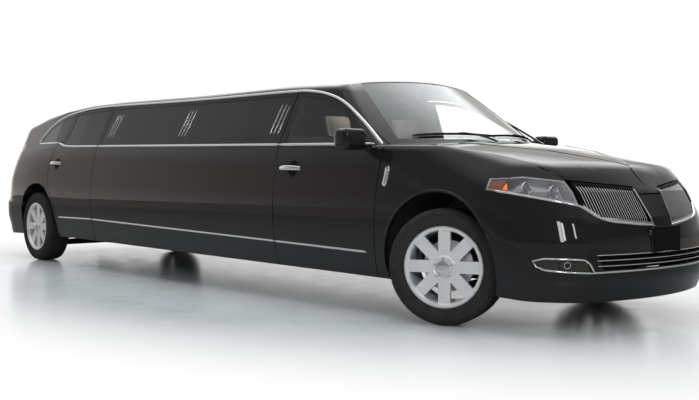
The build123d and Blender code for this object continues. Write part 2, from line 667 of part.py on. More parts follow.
# Lower intake: three level bars with end posts, and round fog lamps in their pockets
INTAKE_BAR_Z = [415, 437, 459]
INTAKE_BAR_HEIGHT = 8.0
intake_body = front_prism(INTAKE, 3500, 4400, grow=-SEAT_GAP)
with BuildPart() as intake:
    with Locations(*[(4000, 0, z) for z in INTAKE_BAR_Z]):
        Box(900, 1200, INTAKE_BAR_HEIGHT)
    with Locations(*[(4000, s * y, 437) for s in (1, -1) for y in (560, 280)]):
        Box(900, 16, 110)
    add(intake_body, mode=Mode.INTERSECT)
    add(layer_lens_out, mode=Mode.INTERSECT)
    add(layer_wing_back, mode=Mode.SUBTRACT)
FOG_CENTRE = (-742.0, 428.0)
FOG_RADIUS = 28.0
with BuildPart() as fog:
    add((nose_layer(12) & front_prism(FOG, 3500, 4400, grow=-SEAT_GAP)) - layer_wing_back)
    with BuildSketch(Plane.YZ.offset(3700)):
        with Locations(FOG_CENTRE):
            Circle(FOG_RADIUS)
    extrude(amount=300)
    add(layer_lens_out, mode=Mode.INTERSECT)
fog_part = fog.part.solids().sort_by(SortBy.VOLUME)[-1]

# Bonnet buffers, radiator panel and the beam that carries them
RADIATOR_X = 3700.0
RAIL_Y = 420.0
RADIATOR_LOW = 330.0
BUFFER_Y = 380.0
BUFFER_RADIUS = 14.0
with BuildPart() as radiator:
    add(box_between((RADIATOR_X, -520, RADIATOR_LOW), (RADIATOR_X + 45, 520, 900)))
    with Locations(*[(RADIATOR_X + 22, s * BUFFER_Y, 950) for s in (1, -1)]):
        Cylinder(BUFFER_RADIUS, 240)
    add(lower_body(FRONT_ROWS[3:], FENDER_WALL + SEAT_GAP), mode=Mode.INTERSECT)

# Cowl below the windscreen with two wipers
with BuildPart() as cowl:
    add(front_skin & plan_prism([(2400, -779.7), (2400, 779.7), (2900, 779.7), (2900, -779.7)], 1000, 1300))
    add(front_core, mode=Mode.SUBTRACT)
    add(hood_prism(SHUT_GAP), mode=Mode.SUBTRACT)
    add(screen_prism(0), mode=Mode.SUBTRACT)
    add(box_between((2300, -1200, 900), (2588, 1200, 1400)), mode=Mode.SUBTRACT)
cowl_part = cowl.part.solids().sort_by(SortBy.VOLUME)[-1]

# Rear bumper
with BuildPart() as rear_bumper:
    add(rear_skin & bumper_block)
    add(lower_body(REAR_ROWS, TAIL_WALL, open_floor=True) & tail_stack(TAIL_WALL), mode=Mode.SUBTRACT)
    add(rear_arch, mode=Mode.SUBTRACT)
    add(mirror(rear_arch, about=Plane.XZ), mode=Mode.SUBTRACT)
rear_bumper_part = rear_bumper.part.solids().sort_by(SortBy.VOLUME)[-1]

# Tailgate, hinged at the roof, with its window
tail_shell = (rear_skin + upper_skin) - quarter_core
gate_body = front_prism(GATE_OUTLINE, -4400, GATE_FRONT_X)
GATE_WINDOW = [(-620, 1215), (620, 1215), (520, 1440), (-520, 1440)]
with BuildPart() as gate:
    add(tail_shell & gate_body)
    add(front_prism(GATE_WINDOW, -4400, GATE_FRONT_X - 90), mode=Mode.SUBTRACT)
gate_part = gate.part.solids().sort_by(SortBy.VOLUME)[-1]
gate_glass_outer = greenhouse(GLASS_INSET) & tail_stack(GLASS_INSET)
gate_glass_inner = greenhouse(GLASS_INSET + GLASS_THICKNESS) & tail_stack(GLASS_INSET + GLASS_THICKNESS)
gate_glass = (gate_glass_outer & front_prism(GATE_WINDOW, -4400, GATE_FRONT_X - 90, grow=-SEAT_GAP)) - gate_glass_inner

# Tail lamps
rear_lamp_layer = (lower_body(REAR_ROWS, 2) & tail_stack(2)) - (lower_body(REAR_ROWS, 60) & tail_stack(60))
tail_lamp = rear_lamp_layer & front_prism(LAMP_OUTLINE, -4400, -3690 - SEAT_GAP, grow=-SEAT_GAP)

# Wheels and steering
TYRE_RADIUS = HUB_HEIGHT
TYRE_WIDTH = 240.0
TRACK_HALF = 848.0
STEER_REST = 26.0
STEER_AXIS = (3100.0, 800.0)
RIM_RADIUS = 259.0
RIM_HALF_WIDTH = 112.0
SPOKE_COUNT = 8
SPOKE_WIDTH = 78.0
HUB_RADIUS = 82.0
SPINDLE_RADIUS = 30.0
CARRIER_RADIUS = 62.0
RUNNING_CLEARANCE = 0.05
LUG_COUNT = 5
LUG_CIRCLE = 57.15
DISC_RADIUS = 165.0
KNUCKLE_HEIGHT = 250.0


def axle_frame(corner):
    """Wheel centre and outward axle direction of one wheel."""
    name, x, side, steered = corner
    angle = radians(STEER_REST) if steered else 0.0
    out = Vector(-side * sin(angle), side * cos(angle), 0)
    if steered:
        pivot = Vector(STEER_AXIS[0], side * STEER_AXIS[1], HUB_HEIGHT)
        return pivot + out * (TRACK_HALF - STEER_AXIS[1]), out
    return Vector(x, side * TRACK_HALF, HUB_HEIGHT), out


def turned(centre, out, profile):
    """Solid of revolution about the axle; the profile is (radius, distance outward)."""
    up = Vector(0, 0, 1)
    with BuildPart() as solid:
        with BuildSketch(Plane(origin=centre, x_dir=up, z_dir=up.cross(out))):
            with BuildLine():
                Polyline(*profile, close=True)
            make_face()
        revolve(axis=Axis(centre, out))
    return solid.part


TYRE_PROFILE = [
    (245.8, -101.7), (259.3, -105.7), (268, -114), (300, -120), (338, -118), (360, -104), (370, -80), (TYRE_RADIUS, 0),
    (370, 80), (360, 104), (338, 118), (300, 120), (268, 114), (259.3, 105.7), (245.8, 101.7),
]
RIM_PROFILE = [
    (224, -112), (RIM_RADIUS, -112), (RIM_RADIUS, -106), (245.5, -102), (245.5, 102), (RIM_RADIUS, 106),
    (RIM_RADIUS, 112), (238, 112), (230, 96), (224, -60),
]
CORNERS = [
    ("front_right", FRONT_AXLE_X, -1, True), ("front_left", FRONT_AXLE_X, 1, True),
    ("rear_right", REAR_AXLE_X, -1, False), ("rear_left", REAR_AXLE_X, 1, False),
]


def rim_of(centre, out):
    face = Plane(origin=centre + out * 62, x_dir=(0, 0, 1), z_dir=out)
    with BuildPart() as rim:
        add(turned(centre, out, RIM_PROFILE))
        add(turned(centre, out, [(0, 52), (HUB_RADIUS, 52), (HUB_RADIUS + 8, 78), (62, 96), (0, 96)]))
        add(turned(centre, out, [(0, -30), (70, -30), (70, 52), (0, 52)]))
        with BuildSketch(face):
            with PolarLocations(152, SPOKE_COUNT):
                Rectangle(176, SPOKE_WIDTH)
        extrude(amount=26)
        with BuildSketch(face.offset(60)):
            Circle(38)
            with PolarLocations(LUG_CIRCLE, LUG_COUNT):
                Circle(10)
        extrude(amount=-45)
        add(turned(centre, out, [(60, -30), (DISC_RADIUS, -30), (DISC_RADIUS, -4), (60, -4)]))
        add(turned(centre, out, [(0, -40), (SPINDLE_RADIUS + RUNNING_CLEARANCE, -40),
                                 (SPINDLE_RADIUS + RUNNING_CLEARANCE, 40), (0, 40)]), mode=Mode.SUBTRACT)
    return rim.part


# Knuckle: spindle, upright, steering arm and brake caliper
def knuckle_of(centre, out, side):
    pivot_x, pivot_y = STEER_AXIS[0], side * STEER_AXIS[1]
    ahead = Vector(out.Y * side, -out.X * side, 0)
    with BuildPart() as knuckle:
        add(turned(centre, out, [(0, -150), (62, -150), (62, -45), (SPINDLE_RADIUS, -45), (SPINDLE_RADIUS, 39), (0, 39)]))
        with BuildSketch(Plane(origin=centre - out * 160, x_dir=ahead, z_dir=out)):
            Rectangle(90, KNUCKLE_HEIGHT)
            with Locations((-75, -20)):
                Rectangle(130, 50)
        extrude(amount=28)
        with BuildSketch(Plane(origin=centre - out * 150, x_dir=ahead, z_dir=out)):
            with Locations((-110, 25)):
                Rectangle(130, 64)
        extrude(amount=34)
        with BuildSketch(Plane(origin=centre - out * 140, x_dir=ahead, z_dir=out)):
            with Locations((-158, 30)):
                Rectangle(60, 150)
        extrude(amount=30)
        with BuildSketch(Plane(origin=centre - out * 128, x_dir=ahead, z_dir=out)):
            with Locations((-182, 30)):
                Rectangle(20, 140)
        extrude(amount=146)
    return knuckle.part


# Inner wheel arches
LINER_GAP = 3.0
LINER_WALL = 6.0
LINER_FOOT_Z = 300.0


def liner(x, near, skin):
    with BuildPart() as arch:
        add(arch_cylinder(x, ARCH_RADIUS + LINER_GAP + LINER_WALL, near, 1100))
        add(arch_cylinder(x, ARCH_RADIUS + LINER_GAP, near + LINER_WALL, 1200), mode=Mode.SUBTRACT)
        add(box_between((x - 900, -1400, -100), (x + 900, 0, LINER_FOOT_Z)), mode=Mode.SUBTRACT)
        add(skin, mode=Mode.INTERSECT)
    return arch.part


FRONT_WELL_Y = 500.0
REAR_WELL_Y = 680.0
front_liner = liner(FRONT_AXLE_X, FRONT_WELL_Y, lower_body(FRONT_ROWS, FENDER_WALL + SEAT_GAP, open_floor=True))
rear_liner = (
    liner(REAR_AXLE_X, REAR_WELL_Y, lower_body(REAR_ROWS, WALL + SEAT_GAP, open_floor=True))
    - arch_cylinder(REAR_AXLE_X, CARRIER_RADIUS + SHUT_GAP, 600, 760)
)
liners = front_liner + rear_liner
liner_pair = liners + mirror(liners, about=Plane.XZ)

# Floor, sills, engine bay rails and firewall
FLOOR_LOW = 292.0
FLOOR_TOP = 330.0
SILL_TOP = 400.0
FIREWALL_X = 2592.0
RAIL_TOP = 480.0
cabin_floor = lower_body([cabin_row(2540), cabin_row(-2400)], WALL + SHUT_GAP)
seal_body = lower_body([cabin_row(2540), cabin_row(-2400)], WALL + SEAT_GAP)
SEALS = [(FRONT_DOOR_REAR_X + 50, FRONT_HINGE_X - 350), (-2080, REAR_HINGE_X - 350), (side_rear_x + 10, side_front_x - 10)]
# Four jacking pads stand below the sills, each centred on its mount
JACKING_PAD_X = (1900.0, -2000.0)
JACKING_PAD_Y = 740.0
JACKING_PAD_HALF = (45.0, 28.0)
JACKING_PAD_DROP = 14.0
with BuildPart() as underbody:
    for pad_x in JACKING_PAD_X:
        for pad_y in (-JACKING_PAD_Y, JACKING_PAD_Y):
            add(box_between(
                (pad_x - JACKING_PAD_HALF[0], pad_y - JACKING_PAD_HALF[1], FLOOR_LOW - JACKING_PAD_DROP),
                (pad_x + JACKING_PAD_HALF[0], pad_y + JACKING_PAD_HALF[1], FLOOR_LOW + JACKING_PAD_DROP)))
    add(cabin_floor & box_between((-2400, -1000, FLOOR_LOW), (2540, 1000, FLOOR_TOP)))
    add(cabin_floor & box_between((-2400, -1000, FLOOR_LOW), (2540, -700, SILL_TOP)))
    add(cabin_floor & box_between((-2400, 700, FLOOR_LOW), (2540, 1000, SILL_TOP)))
    for x_from, x_to in SEALS:
        for y_from, y_to in ((-1000, -740), (740, 1000)):
            add(seal_body & box_between((x_from, y_from, 350), (x_to, y_to, SILL_TOP)))
    add(box_between((-3840, -REAR_WELL_Y + SEAT_GAP, FLOOR_LOW), (-2400, REAR_WELL_Y - SEAT_GAP, FLOOR_TOP)))
    for s in (1, -1):
        add(box_between((REAR_AXLE_X - 55, min(s * 600, s * 800), 0), (REAR_AXLE_X + 55, max(s * 600, s * 800), 600)),
            mode=Mode.SUBTRACT)
    add(box_between((2540, -FRONT_WELL_Y + SEAT_GAP, FLOOR_LOW), (2600, FRONT_WELL_Y - SEAT_GAP, FLOOR_TOP)))
    add(box_between((FIREWALL_X, -FRONT_WELL_Y + SEAT_GAP, FLOOR_TOP), (FIREWALL_X + 20, FRONT_WELL_Y - SEAT_GAP, 1120)))
    for s in (1, -1):
        add(box_between((2600, s * RAIL_Y - 45, 380), (RADIATOR_X - SEAT_GAP, s * RAIL_Y + 45, RAIL_TOP)))

# Engine as one block between the rails
ENGINE_LOW = (2950.0, -300.0, 400.0)
ENGINE_HIGH = (3560.0, 300.0, 900.0)
with BuildPart() as engine:
    add(box_between(ENGINE_LOW, ENGINE_HIGH))
    add(box_between((2700, -160, 420), (2950, 160, 760)))
    add(box_between((3050, -RAIL_Y, RAIL_TOP + SEAT_GAP), (3150, RAIL_Y, 560)))

# Front cross member with lower arms, ball joints at the steering axis
ARM_THICKNESS = 30.0
KNUCKLE_FOOT_Z = HUB_HEIGHT - KNUCKLE_HEIGHT / 2
ARM_Z = KNUCKLE_FOOT_Z - SEAT_GAP - ARM_THICKNESS
with BuildPart() as front_frame:
    add(box_between((2960, -360, 250), (3240, 360, 320)))
    for s in (1, -1):
        add(box_between((2960, min(s * 300, s * 450), 250), (3240, max(s * 300, s * 450), 379.7)))
        with BuildSketch(Plane.XY.offset(ARM_Z)):
            with BuildLine():
                Polyline((2980, s * 340), (3220, s * 340), (3125, s * 690), (3075, s * 690), close=True)
            make_face()
        extrude(amount=ARM_THICKNESS)
        add(box_between((2980, min(s * 340, s * 380), ARM_Z), (3220, max(s * 340, s * 380), 300)))

# Rear cross member with hub carriers
BEAM_LOW = 160.0
BEAM_TOP = 215.0
CARRIER_OUT = REAR_WELL_Y - 8
with BuildPart() as rear_frame:
    add(box_between((REAR_AXLE_X - 60, -CARRIER_OUT, BEAM_LOW), (REAR_AXLE_X + 60, CARRIER_OUT, BEAM_TOP)))
    add(box_between((REAR_AXLE_X - 200, -150, BEAM_LOW), (REAR_AXLE_X + 150, 150, FLOOR_LOW - SEAT_GAP)))
    for s in (1, -1):
        add(turned(Vector(REAR_AXLE_X, s * TRACK_HALF, HUB_HEIGHT), Vector(0, s, 0),
                   [(0, -215), (CARRIER_RADIUS, -215), (CARRIER_RADIUS, -45), (SPINDLE_RADIUS, -45),
                    (SPINDLE_RADIUS, 39), (0, 39)]))
        add(box_between((REAR_AXLE_X - 45, min(s * 610, s * CARRIER_OUT), BEAM_LOW),
                        (REAR_AXLE_X + 45, max(s * 610, s * CARRIER_OUT), 420)))

# Exhaust: one pipe along the floor with a silencer and two tail pipes
PIPE_RADIUS = 32.0
TAIL_PIPE_Z = 213.0
SILENCER_HEIGHT = 92.0
with BuildPart() as exhaust:
    with BuildSketch(Plane.YZ.offset(-3300)):
        with Locations((-230, 255)):
            Circle(PIPE_RADIUS)
    extrude(amount=6000)
    with BuildSketch(Plane.YZ.offset(-3700)):
        with Locations((0, FLOOR_LOW - SEAT_GAP - SILENCER_HEIGHT / 2)):
            SlotOverall(900, SILENCER_HEIGHT)
    extrude(amount=400)
    for s in (1, -1):
        with BuildSketch(Plane.YZ.offset(-4090)):
            with Locations((s * 380, TAIL_PIPE_Z)):
                Circle(PIPE_RADIUS)
        extrude(amount=450)

# Cabin: dashboard with steering wheel, front seats, partition, side bench, rear bench and bar
FLOOR_SEAT = FLOOR_TOP + SEAT_GAP


def seat_at(x, y, width):
    with BuildPart() as seat:
        with BuildSketch(Plane.XZ.offset(-y - width / 2)) as side:
            with BuildLine():
                Polyline((x + 60, FLOOR_SEAT), (x + 420, FLOOR_SEAT), (x + 450, 560), (x + 520, 600), (x + 500, 700),
                         (x + 120, 660), (x - 40, 1230), (x - 70, 1420), (x - 150, 1420), (x - 150, 1230), (x - 20, 600),
                         close=True)
            make_face()
        extrude(amount=width)
        fillet(seat.edges().filter_by(Axis.Y, reverse=True).group_by(Axis.Y)[0], 18)
    return seat.part


DASH_FRONT_X = FIREWALL_X - SEAT_GAP
with BuildPart() as dashboard:
    with BuildSketch(Plane.XZ.offset(-700)):
        with BuildLine():
            Polyline((DASH_FRONT_X, 700), (DASH_FRONT_X, 1100), (2400, 1120), (2180, 1085), (2150, 1000), (2280, 820), (2400, 700), close=True)
        make_face()
    extrude(amount=1400)
    add(box_between((2150, -120, 560), (2500, 120, 1000)))
    with BuildSketch(Plane(origin=(2010, 380, 985), x_dir=(0, 1, 0), z_dir=(-0.92, 0, 0.39))):
        Circle(188)
        Circle(160, mode=Mode.SUBTRACT)
        Rectangle(330, 40)
    extrude(amount=28, both=True)
    with BuildSketch(Plane(origin=(2010, 380, 985), x_dir=(0, 1, 0), z_dir=(0.92, 0, -0.39))):
        Circle(38)
    extrude(amount=220)

front_seats = seat_at(1480, 380, 520) + seat_at(1480, -380, 520)
PARTITION_X = 1180.0
with BuildPart() as rear_seats:
    add(box_between((-2380, -650, FLOOR_SEAT), (-1800, 650, 700)))
    add(box_between((-2380, -650, 700), (-2200, 650, 1150)))
    add(box_between((-1800, 250, FLOOR_SEAT), (900, 690, 700)))
    add(box_between((-1800, 560, 700), (900, 690, 1120)))
with BuildPart() as bar:
    add(box_between((-1400, -690, FLOOR_SEAT), (600, -330, 1000)))
    add(box_between((PARTITION_X, -690, FLOOR_SEAT), (PARTITION_X + 40, 690, 1120)))

save(roof_part, "roof")
save(windscreen, "windscreen")
save(cowl_part, "cowl")
save(hood.part, "hood")
save(fender_part, "fender_right")
save_mirrored(fender_part, "fender_left")
save(bumper_part, "front_bumper")
save(grille_part, "grille")
save(intake.part, "lower_grille")
save(headlamp.part + mirror(headlamp.part, about=Plane.XZ), "headlamp_bowls")
save(headlamp_lens + mirror(headlamp_lens, about=Plane.XZ), "headlamp_lenses")
save(fog_part + mirror(fog_part, about=Plane.XZ), "fog_lamps")
save(radiator.part, "radiator_panel")
save(side_panel.part, "side_right")
save_mirrored(side_panel.part, "side_left")
save(quarter.part, "quarter_right")
save_mirrored(quarter.part, "quarter_left")
save(rear_bumper_part, "rear_bumper")
save(tail_lamp + mirror(tail_lamp, about=Plane.XZ), "tail_lamps")
save(gate_part, "tailgate")
save(gate_glass, "tailgate_glass")
side_panes = pane(side_window_outline, WINDOW_FRAME) + ((pane_outer & side_prism(quarter_window_outline, grow=-WINDOW_FRAME - SEAT_GAP)) - pane_inner)
save(side_panes + mirror(side_panes, about=Plane.XZ), "side_glass")
save(front_door, "front_door_right")
save_mirrored(front_door, "front_door_left")
front_pane = pane(front_window_outline, WINDOW_FRAME)
save(front_pane, "front_door_glass_right")
save_mirrored(front_pane, "front_door_glass_left")
save(rear_door, "rear_door_right")
save_mirrored(rear_door, "rear_door_left")
rear_pane = pane(rear_window_outline, WINDOW_FRAME)
save(rear_pane, "rear_door_glass_right")
save_mirrored(rear_pane, "rear_door_glass_left")
save(liner_pair, "arch_liners")
save(underbody.part, "underbody")
save(engine.part, "engine")
save(front_frame.part, "front_crossmember")
save(rear_frame.part, "rear_axle")
save(exhaust.part, "exhaust")
save(dashboard.part, "dashboard")
save(front_seats, "front_seats")
save(rear_seats.part, "cabin_seats")
save(bar.part, "bar_and_partition")
for corner in CORNERS:
    centre, out = axle_frame(corner)
    save(turned(centre, out, TYRE_PROFILE), "tyre_" + corner[0])
    save(rim_of(centre, out), "rim_" + corner[0])
    if corner[3]:
        save(knuckle_of(centre, out, corner[2]), "knuckle" + corner[0][5:])
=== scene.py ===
# %% [markdown]
# This lesson dresses a long black car. The solids come packed from CAD and never move.
# Blender adds the smooth shading of the pressed panels, the bright strips, the small fittings,
# the padded seats and the finishes. The frame is loaded first, and its box is kept.

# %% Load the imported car
import json
from math import cos, pi, radians, sin, sqrt

import bmesh
import bpy
import numpy as np
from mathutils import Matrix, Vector


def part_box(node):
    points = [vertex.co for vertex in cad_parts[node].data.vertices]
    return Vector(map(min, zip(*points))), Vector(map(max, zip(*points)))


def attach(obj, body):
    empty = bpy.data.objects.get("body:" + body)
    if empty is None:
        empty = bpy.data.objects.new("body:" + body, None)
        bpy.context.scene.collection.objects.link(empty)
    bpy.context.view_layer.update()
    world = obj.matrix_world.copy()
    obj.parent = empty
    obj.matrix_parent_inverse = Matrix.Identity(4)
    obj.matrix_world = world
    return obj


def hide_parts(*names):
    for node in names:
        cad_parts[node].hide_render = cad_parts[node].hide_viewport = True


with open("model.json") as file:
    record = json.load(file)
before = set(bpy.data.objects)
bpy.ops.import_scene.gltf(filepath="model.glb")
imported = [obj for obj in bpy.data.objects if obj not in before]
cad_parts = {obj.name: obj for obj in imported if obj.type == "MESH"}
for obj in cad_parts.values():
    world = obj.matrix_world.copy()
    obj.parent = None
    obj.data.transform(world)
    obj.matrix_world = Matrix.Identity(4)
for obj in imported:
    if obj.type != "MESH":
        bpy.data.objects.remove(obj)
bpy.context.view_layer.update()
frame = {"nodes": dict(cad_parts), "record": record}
nodes = frame["nodes"]
record = frame["record"]
BODY_OF = {node: body for body, members in record["behaviour"]["bodies"].items() for node in members}

# %% [markdown]
# The photograph was taken from low down, ahead and to the right of the nose, with a normal lens.
# The camera's place was worked out from the wheels and the roof line, so it is set by numbers.

# %% Camera
CAMERA_PLACE = Vector((7.318, -5.361, 0.9695))
CAMERA_YAW = radians(41.25)
CAMERA_PITCH = radians(-1.664)
camera_data = bpy.data.cameras.new("camera")
camera_data.lens = 49.66
camera_data.sensor_width = 36.0
camera = bpy.data.objects.new("camera", camera_data)
bpy.context.scene.collection.objects.link(camera)
view = Vector((
    -cos(CAMERA_YAW) * cos(CAMERA_PITCH), sin(CAMERA_YAW) * cos(CAMERA_PITCH), sin(CAMERA_PITCH)))
camera.location = CAMERA_PLACE
camera.rotation_euler = view.to_track_quat("-Z", "Y").to_euler()
bpy.context.scene.camera = camera
bpy.context.scene.view_settings.view_transform = "Standard"

# %% [markdown]
# A finish is a small network of shader nodes. Two helpers keep it readable: one wraps a socket so
# that sums and products can be written as plain expressions, and one adds any node with its
# settings and inputs.

# %% Shader helpers


class Number:
    """A number in a shader. Arithmetic on it adds Math nodes."""

    def __init__(self, finish, socket):
        self.finish = finish
        self.socket = socket

    def combine(self, operation, first, second):
        node = self.finish.node("ShaderNodeMath", {"operation": operation}, {0: first, 1: second})
        return Number(self.finish, node.outputs[0])

    def __radd__(self, other):
        return self.combine("ADD", other, self)

    def __mul__(self, other):
        return self.combine("MULTIPLY", self, other)

    def __rmul__(self, other):
        return self.combine("MULTIPLY", other, self)


class Finish:
    """A material with one Principled shader."""

    def __init__(self, name, constants):
        self.material = bpy.data.materials.new(name)
        self.material.use_nodes = True
        self.tree = self.material.node_tree
        self.shader = self.tree.nodes["Principled BSDF"]
        self.set(self.shader, constants)

    def set(self, node, inputs):
        for key, value in inputs.items():
            socket = node.inputs[key]
            if isinstance(value, Number):
                self.tree.links.new(value.socket, socket)
            elif isinstance(value, bpy.types.NodeSocket):
                self.tree.links.new(value, socket)
            elif isinstance(value, tuple) and len(value) == 3 and socket.type == "RGBA":
                socket.default_value = (*value, 1)
            else:
                socket.default_value = value

    def node(self, kind, settings=None, inputs=None):
        node = self.tree.nodes.new(kind)
        for key, value in (settings or {}).items():
            setattr(node, key, value)
        self.set(node, inputs or {})
        return node

    def place(self):
        return self.node("ShaderNodeTexCoord").outputs["Object"]

    def noise(self, scale, detail=3.0, stretch=(1, 1, 1)):
        mapping = self.node("ShaderNodeMapping", None, {"Vector": self.place(), "Scale": stretch})
        node = self.node("ShaderNodeTexNoise", None, {
            "Vector": mapping.outputs[0], "Scale": scale, "Detail": detail})
        return Number(self, node.outputs[0])

    def tint(self, amount, dark, light):
        node = self.node("ShaderNodeMix", {"data_type": "RGBA"}, {0: amount, 6: dark, 7: light})
        return node.outputs[2]

    def bump(self, height, distance, strength=1.0):
        node = self.node("ShaderNodeBump", None, {
            "Height": height, "Distance": distance, "Strength": strength})
        self.set(self.shader, {"Normal": node.outputs[0]})

    def surface(self, **inputs):
        self.set(self.shader, {key.replace("_", " ").title(): value for key, value in inputs.items()})
        return self


# %% [markdown]
# Black paint on a car is a dark base under a clear coat. The coat gives the sharp reflections. The
# base is almost even, with a trace of fine flake, and the coat has the faint waviness that sprayed
# lacquer always has.

# %% Paint, bright metal and glass
paint = Finish("black_paint", {
    "Roughness": 0.35, "Specular IOR Level": 0.0, "Coat Weight": 1.0, "Coat Roughness": 0.02,
    "Coat IOR": 1.5})
flake = paint.noise(900, 2)
paint.surface(base_color=paint.tint(flake, (0.004, 0.004, 0.0045), (0.013, 0.0125, 0.0125)))
paint.bump(paint.noise(40, 2), 0.00006)

chrome = Finish("bright_chrome", {"Metallic": 0.9})
chrome.surface(base_color=chrome.tint(chrome.noise(25), (0.86, 0.87, 0.89), (0.95, 0.96, 0.97)),
               roughness=0.07 + 0.08 * chrome.noise(40))

bowl = Finish("lamp_bowl", {"Metallic": 0.35})
bowl.surface(base_color=bowl.tint(bowl.noise(25), (0.90, 0.91, 0.93), (0.97, 0.98, 0.99)),
             roughness=0.10 + 0.12 * bowl.noise(60))

tinted = Finish("tinted_glass", {"Roughness": 0.02, "IOR": 1.5, "Alpha": 0.96})
tinted.surface(base_color=tinted.tint(tinted.noise(3), (0.010, 0.010, 0.011), (0.020, 0.019, 0.019)))

clear = Finish("clear_glass", {"IOR": 1.45, "Transmission Weight": 1.0, "Roughness": 0.0})
clear.surface(base_color=clear.tint(clear.noise(2), (0.80, 0.83, 0.82), (0.86, 0.88, 0.87)))

lens = Finish("lamp_lens", {"IOR": 1.3, "Transmission Weight": 1.0, "Roughness": 0.0})
lens.surface(base_color=lens.tint(lens.noise(8), (0.95, 0.96, 0.97), (1.0, 1.0, 1.0)))

amber = Finish("amber_lens", {"IOR": 1.45, "Roughness": 0.12, "Coat Weight": 1.0})
amber.surface(base_color=amber.tint(amber.noise(60, 2, (1, 1, 6)), (0.62, 0.10, 0.02), (0.95, 0.26, 0.06)))

red = Finish("red_lens", {"IOR": 1.5, "Roughness": 0.12, "Coat Weight": 1.0})
red.surface(base_color=red.tint(red.noise(60, 2, (1, 6, 1)), (0.16, 0.004, 0.004), (0.42, 0.012, 0.010)))

# %% [markdown]
# The remaining finishes are alloy, rubber, moulded plastic, leather, wood veneer and bare metals.
# Each one varies in colour and roughness at the scale of the real thing, because an even surface
# looks like a toy.

# %% Other finishes
alloy = Finish("wheel_alloy", {"Metallic": 0.6})
alloy.surface(base_color=alloy.tint(alloy.noise(30), (0.84, 0.85, 0.87), (0.94, 0.95, 0.96)),
              roughness=0.16 + 0.14 * alloy.noise(180))
alloy.bump(alloy.noise(600, 2), 0.00008)

rubber = Finish("tyre_rubber", {"Specular IOR Level": 0.35})
rubber.surface(base_color=rubber.tint(rubber.noise(18), (0.010, 0.010, 0.010), (0.030, 0.029, 0.028)),
               roughness=0.58 + 0.25 * rubber.noise(45))
rubber.bump(rubber.noise(500, 3), 0.0003)

plastic = Finish("moulded_plastic", {})
plastic.surface(base_color=plastic.tint(plastic.noise(12), (0.009, 0.009, 0.010), (0.020, 0.020, 0.021)),
                roughness=0.50 + 0.2 * plastic.noise(90))
plastic.bump(plastic.noise(1200, 2), 0.0002)

# Matt black serves real black parts, the lower grille and the blank plate, and painted shade: the sides of
# the grille's uprights and the hollows behind the door handles.
matt_black_and_shade = Finish("matt_black_and_shade", {"Specular IOR Level": 0.12})
matt_black_and_shade.surface(base_color=matt_black_and_shade.tint(matt_black_and_shade.noise(12), (0.0012, 0.0012, 0.0012),
                                              (0.0035, 0.0035, 0.0035)),
                   roughness=0.40 + 0.2 * matt_black_and_shade.noise(60))

smoked = Finish("smoked_cover", {"Coat Weight": 0.6, "Specular IOR Level": 0.3})
smoked.surface(base_color=smoked.tint(smoked.noise(30, 3, (1, 4, 1)), (0.006, 0.005, 0.004),
                                      (0.045, 0.038, 0.030)),
               roughness=0.15 + 0.15 * smoked.noise(25))

leather = Finish("grained_leather", {})
grain = leather.noise(420, 4)
leather.surface(base_color=leather.tint(leather.noise(7), (0.16, 0.13, 0.105), (0.24, 0.20, 0.165)),
                roughness=0.38 + 0.25 * grain)
leather.bump(grain, 0.0006)

dark_leather = Finish("dark_leather", {})
dark_grain = dark_leather.noise(420, 4)
dark_leather.surface(base_color=dark_leather.tint(dark_leather.noise(7), (0.018, 0.017, 0.016),
                                                  (0.038, 0.035, 0.033)),
                     roughness=0.38 + 0.25 * dark_grain)
dark_leather.bump(dark_grain, 0.0006)

veneer = Finish("bar_veneer", {"Coat Weight": 1.0, "Coat Roughness": 0.05})
veneer.surface(base_color=veneer.tint(veneer.noise(14, 5, (0.3, 6, 6)), (0.035, 0.015, 0.008),
                                      (0.13, 0.06, 0.03)),
               roughness=0.3 + 0.2 * veneer.noise(50))

trim = Finish("cabin_trim", {})
trim.surface(base_color=trim.tint(trim.noise(20), (0.045, 0.042, 0.040), (0.075, 0.070, 0.066)),
             roughness=0.55 + 0.2 * trim.noise(200))
trim.bump(trim.noise(900, 2), 0.0003)

iron = Finish("cast_iron", {"Metallic": 0.7})
iron.surface(base_color=iron.tint(iron.noise(22), (0.05, 0.045, 0.042), (0.13, 0.12, 0.11)),
             roughness=0.5 + 0.3 * iron.noise(60))
iron.bump(iron.noise(300, 3), 0.0006)

steel = Finish("warm_steel", {"Metallic": 1.0})
steel.surface(base_color=steel.tint(steel.noise(6, 3, (0.4, 2, 2)), (0.30, 0.27, 0.24), (0.50, 0.48, 0.46)),
              roughness=0.28 + 0.3 * steel.noise(35))

under = Finish("underbody_coat", {})
under.surface(base_color=under.tint(under.noise(5), (0.012, 0.012, 0.012), (0.035, 0.033, 0.031)),
              roughness=0.6 + 0.3 * under.noise(28))
under.bump(under.noise(140, 3), 0.0008)

NODE_FINISH = {
    "windscreen": clear, "cowl": plastic, "lower_grille": matt_black_and_shade, "headlamp_bowls": bowl,
    "headlamp_lenses": lens, "fog_lamps": smoked, "radiator_panel": plastic, "tail_lamps": red,
    "tailgate_glass": tinted, "side_glass": tinted,
    "rear_door_glass_right": tinted, "rear_door_glass_left": tinted,
    "front_door_glass_right": clear, "front_door_glass_left": clear,
    "arch_liners": plastic, "underbody": under,
    "engine": iron, "front_crossmember": under, "rear_axle": under, "exhaust": steel, "dashboard": trim,
    "bar_and_partition": veneer, "knuckle_right": iron, "knuckle_left": iron,
}
for wheel in ("front_right", "front_left", "rear_right", "rear_left"):
    NODE_FINISH["tyre_" + wheel] = rubber
    NODE_FINISH["rim_" + wheel] = alloy
for name, node in nodes.items():
    finish = NODE_FINISH.get(name, paint)
    node.data.materials.clear()
    node.data.materials.append(finish.material)
print("finished", len(NODE_FINISH), "nodes")

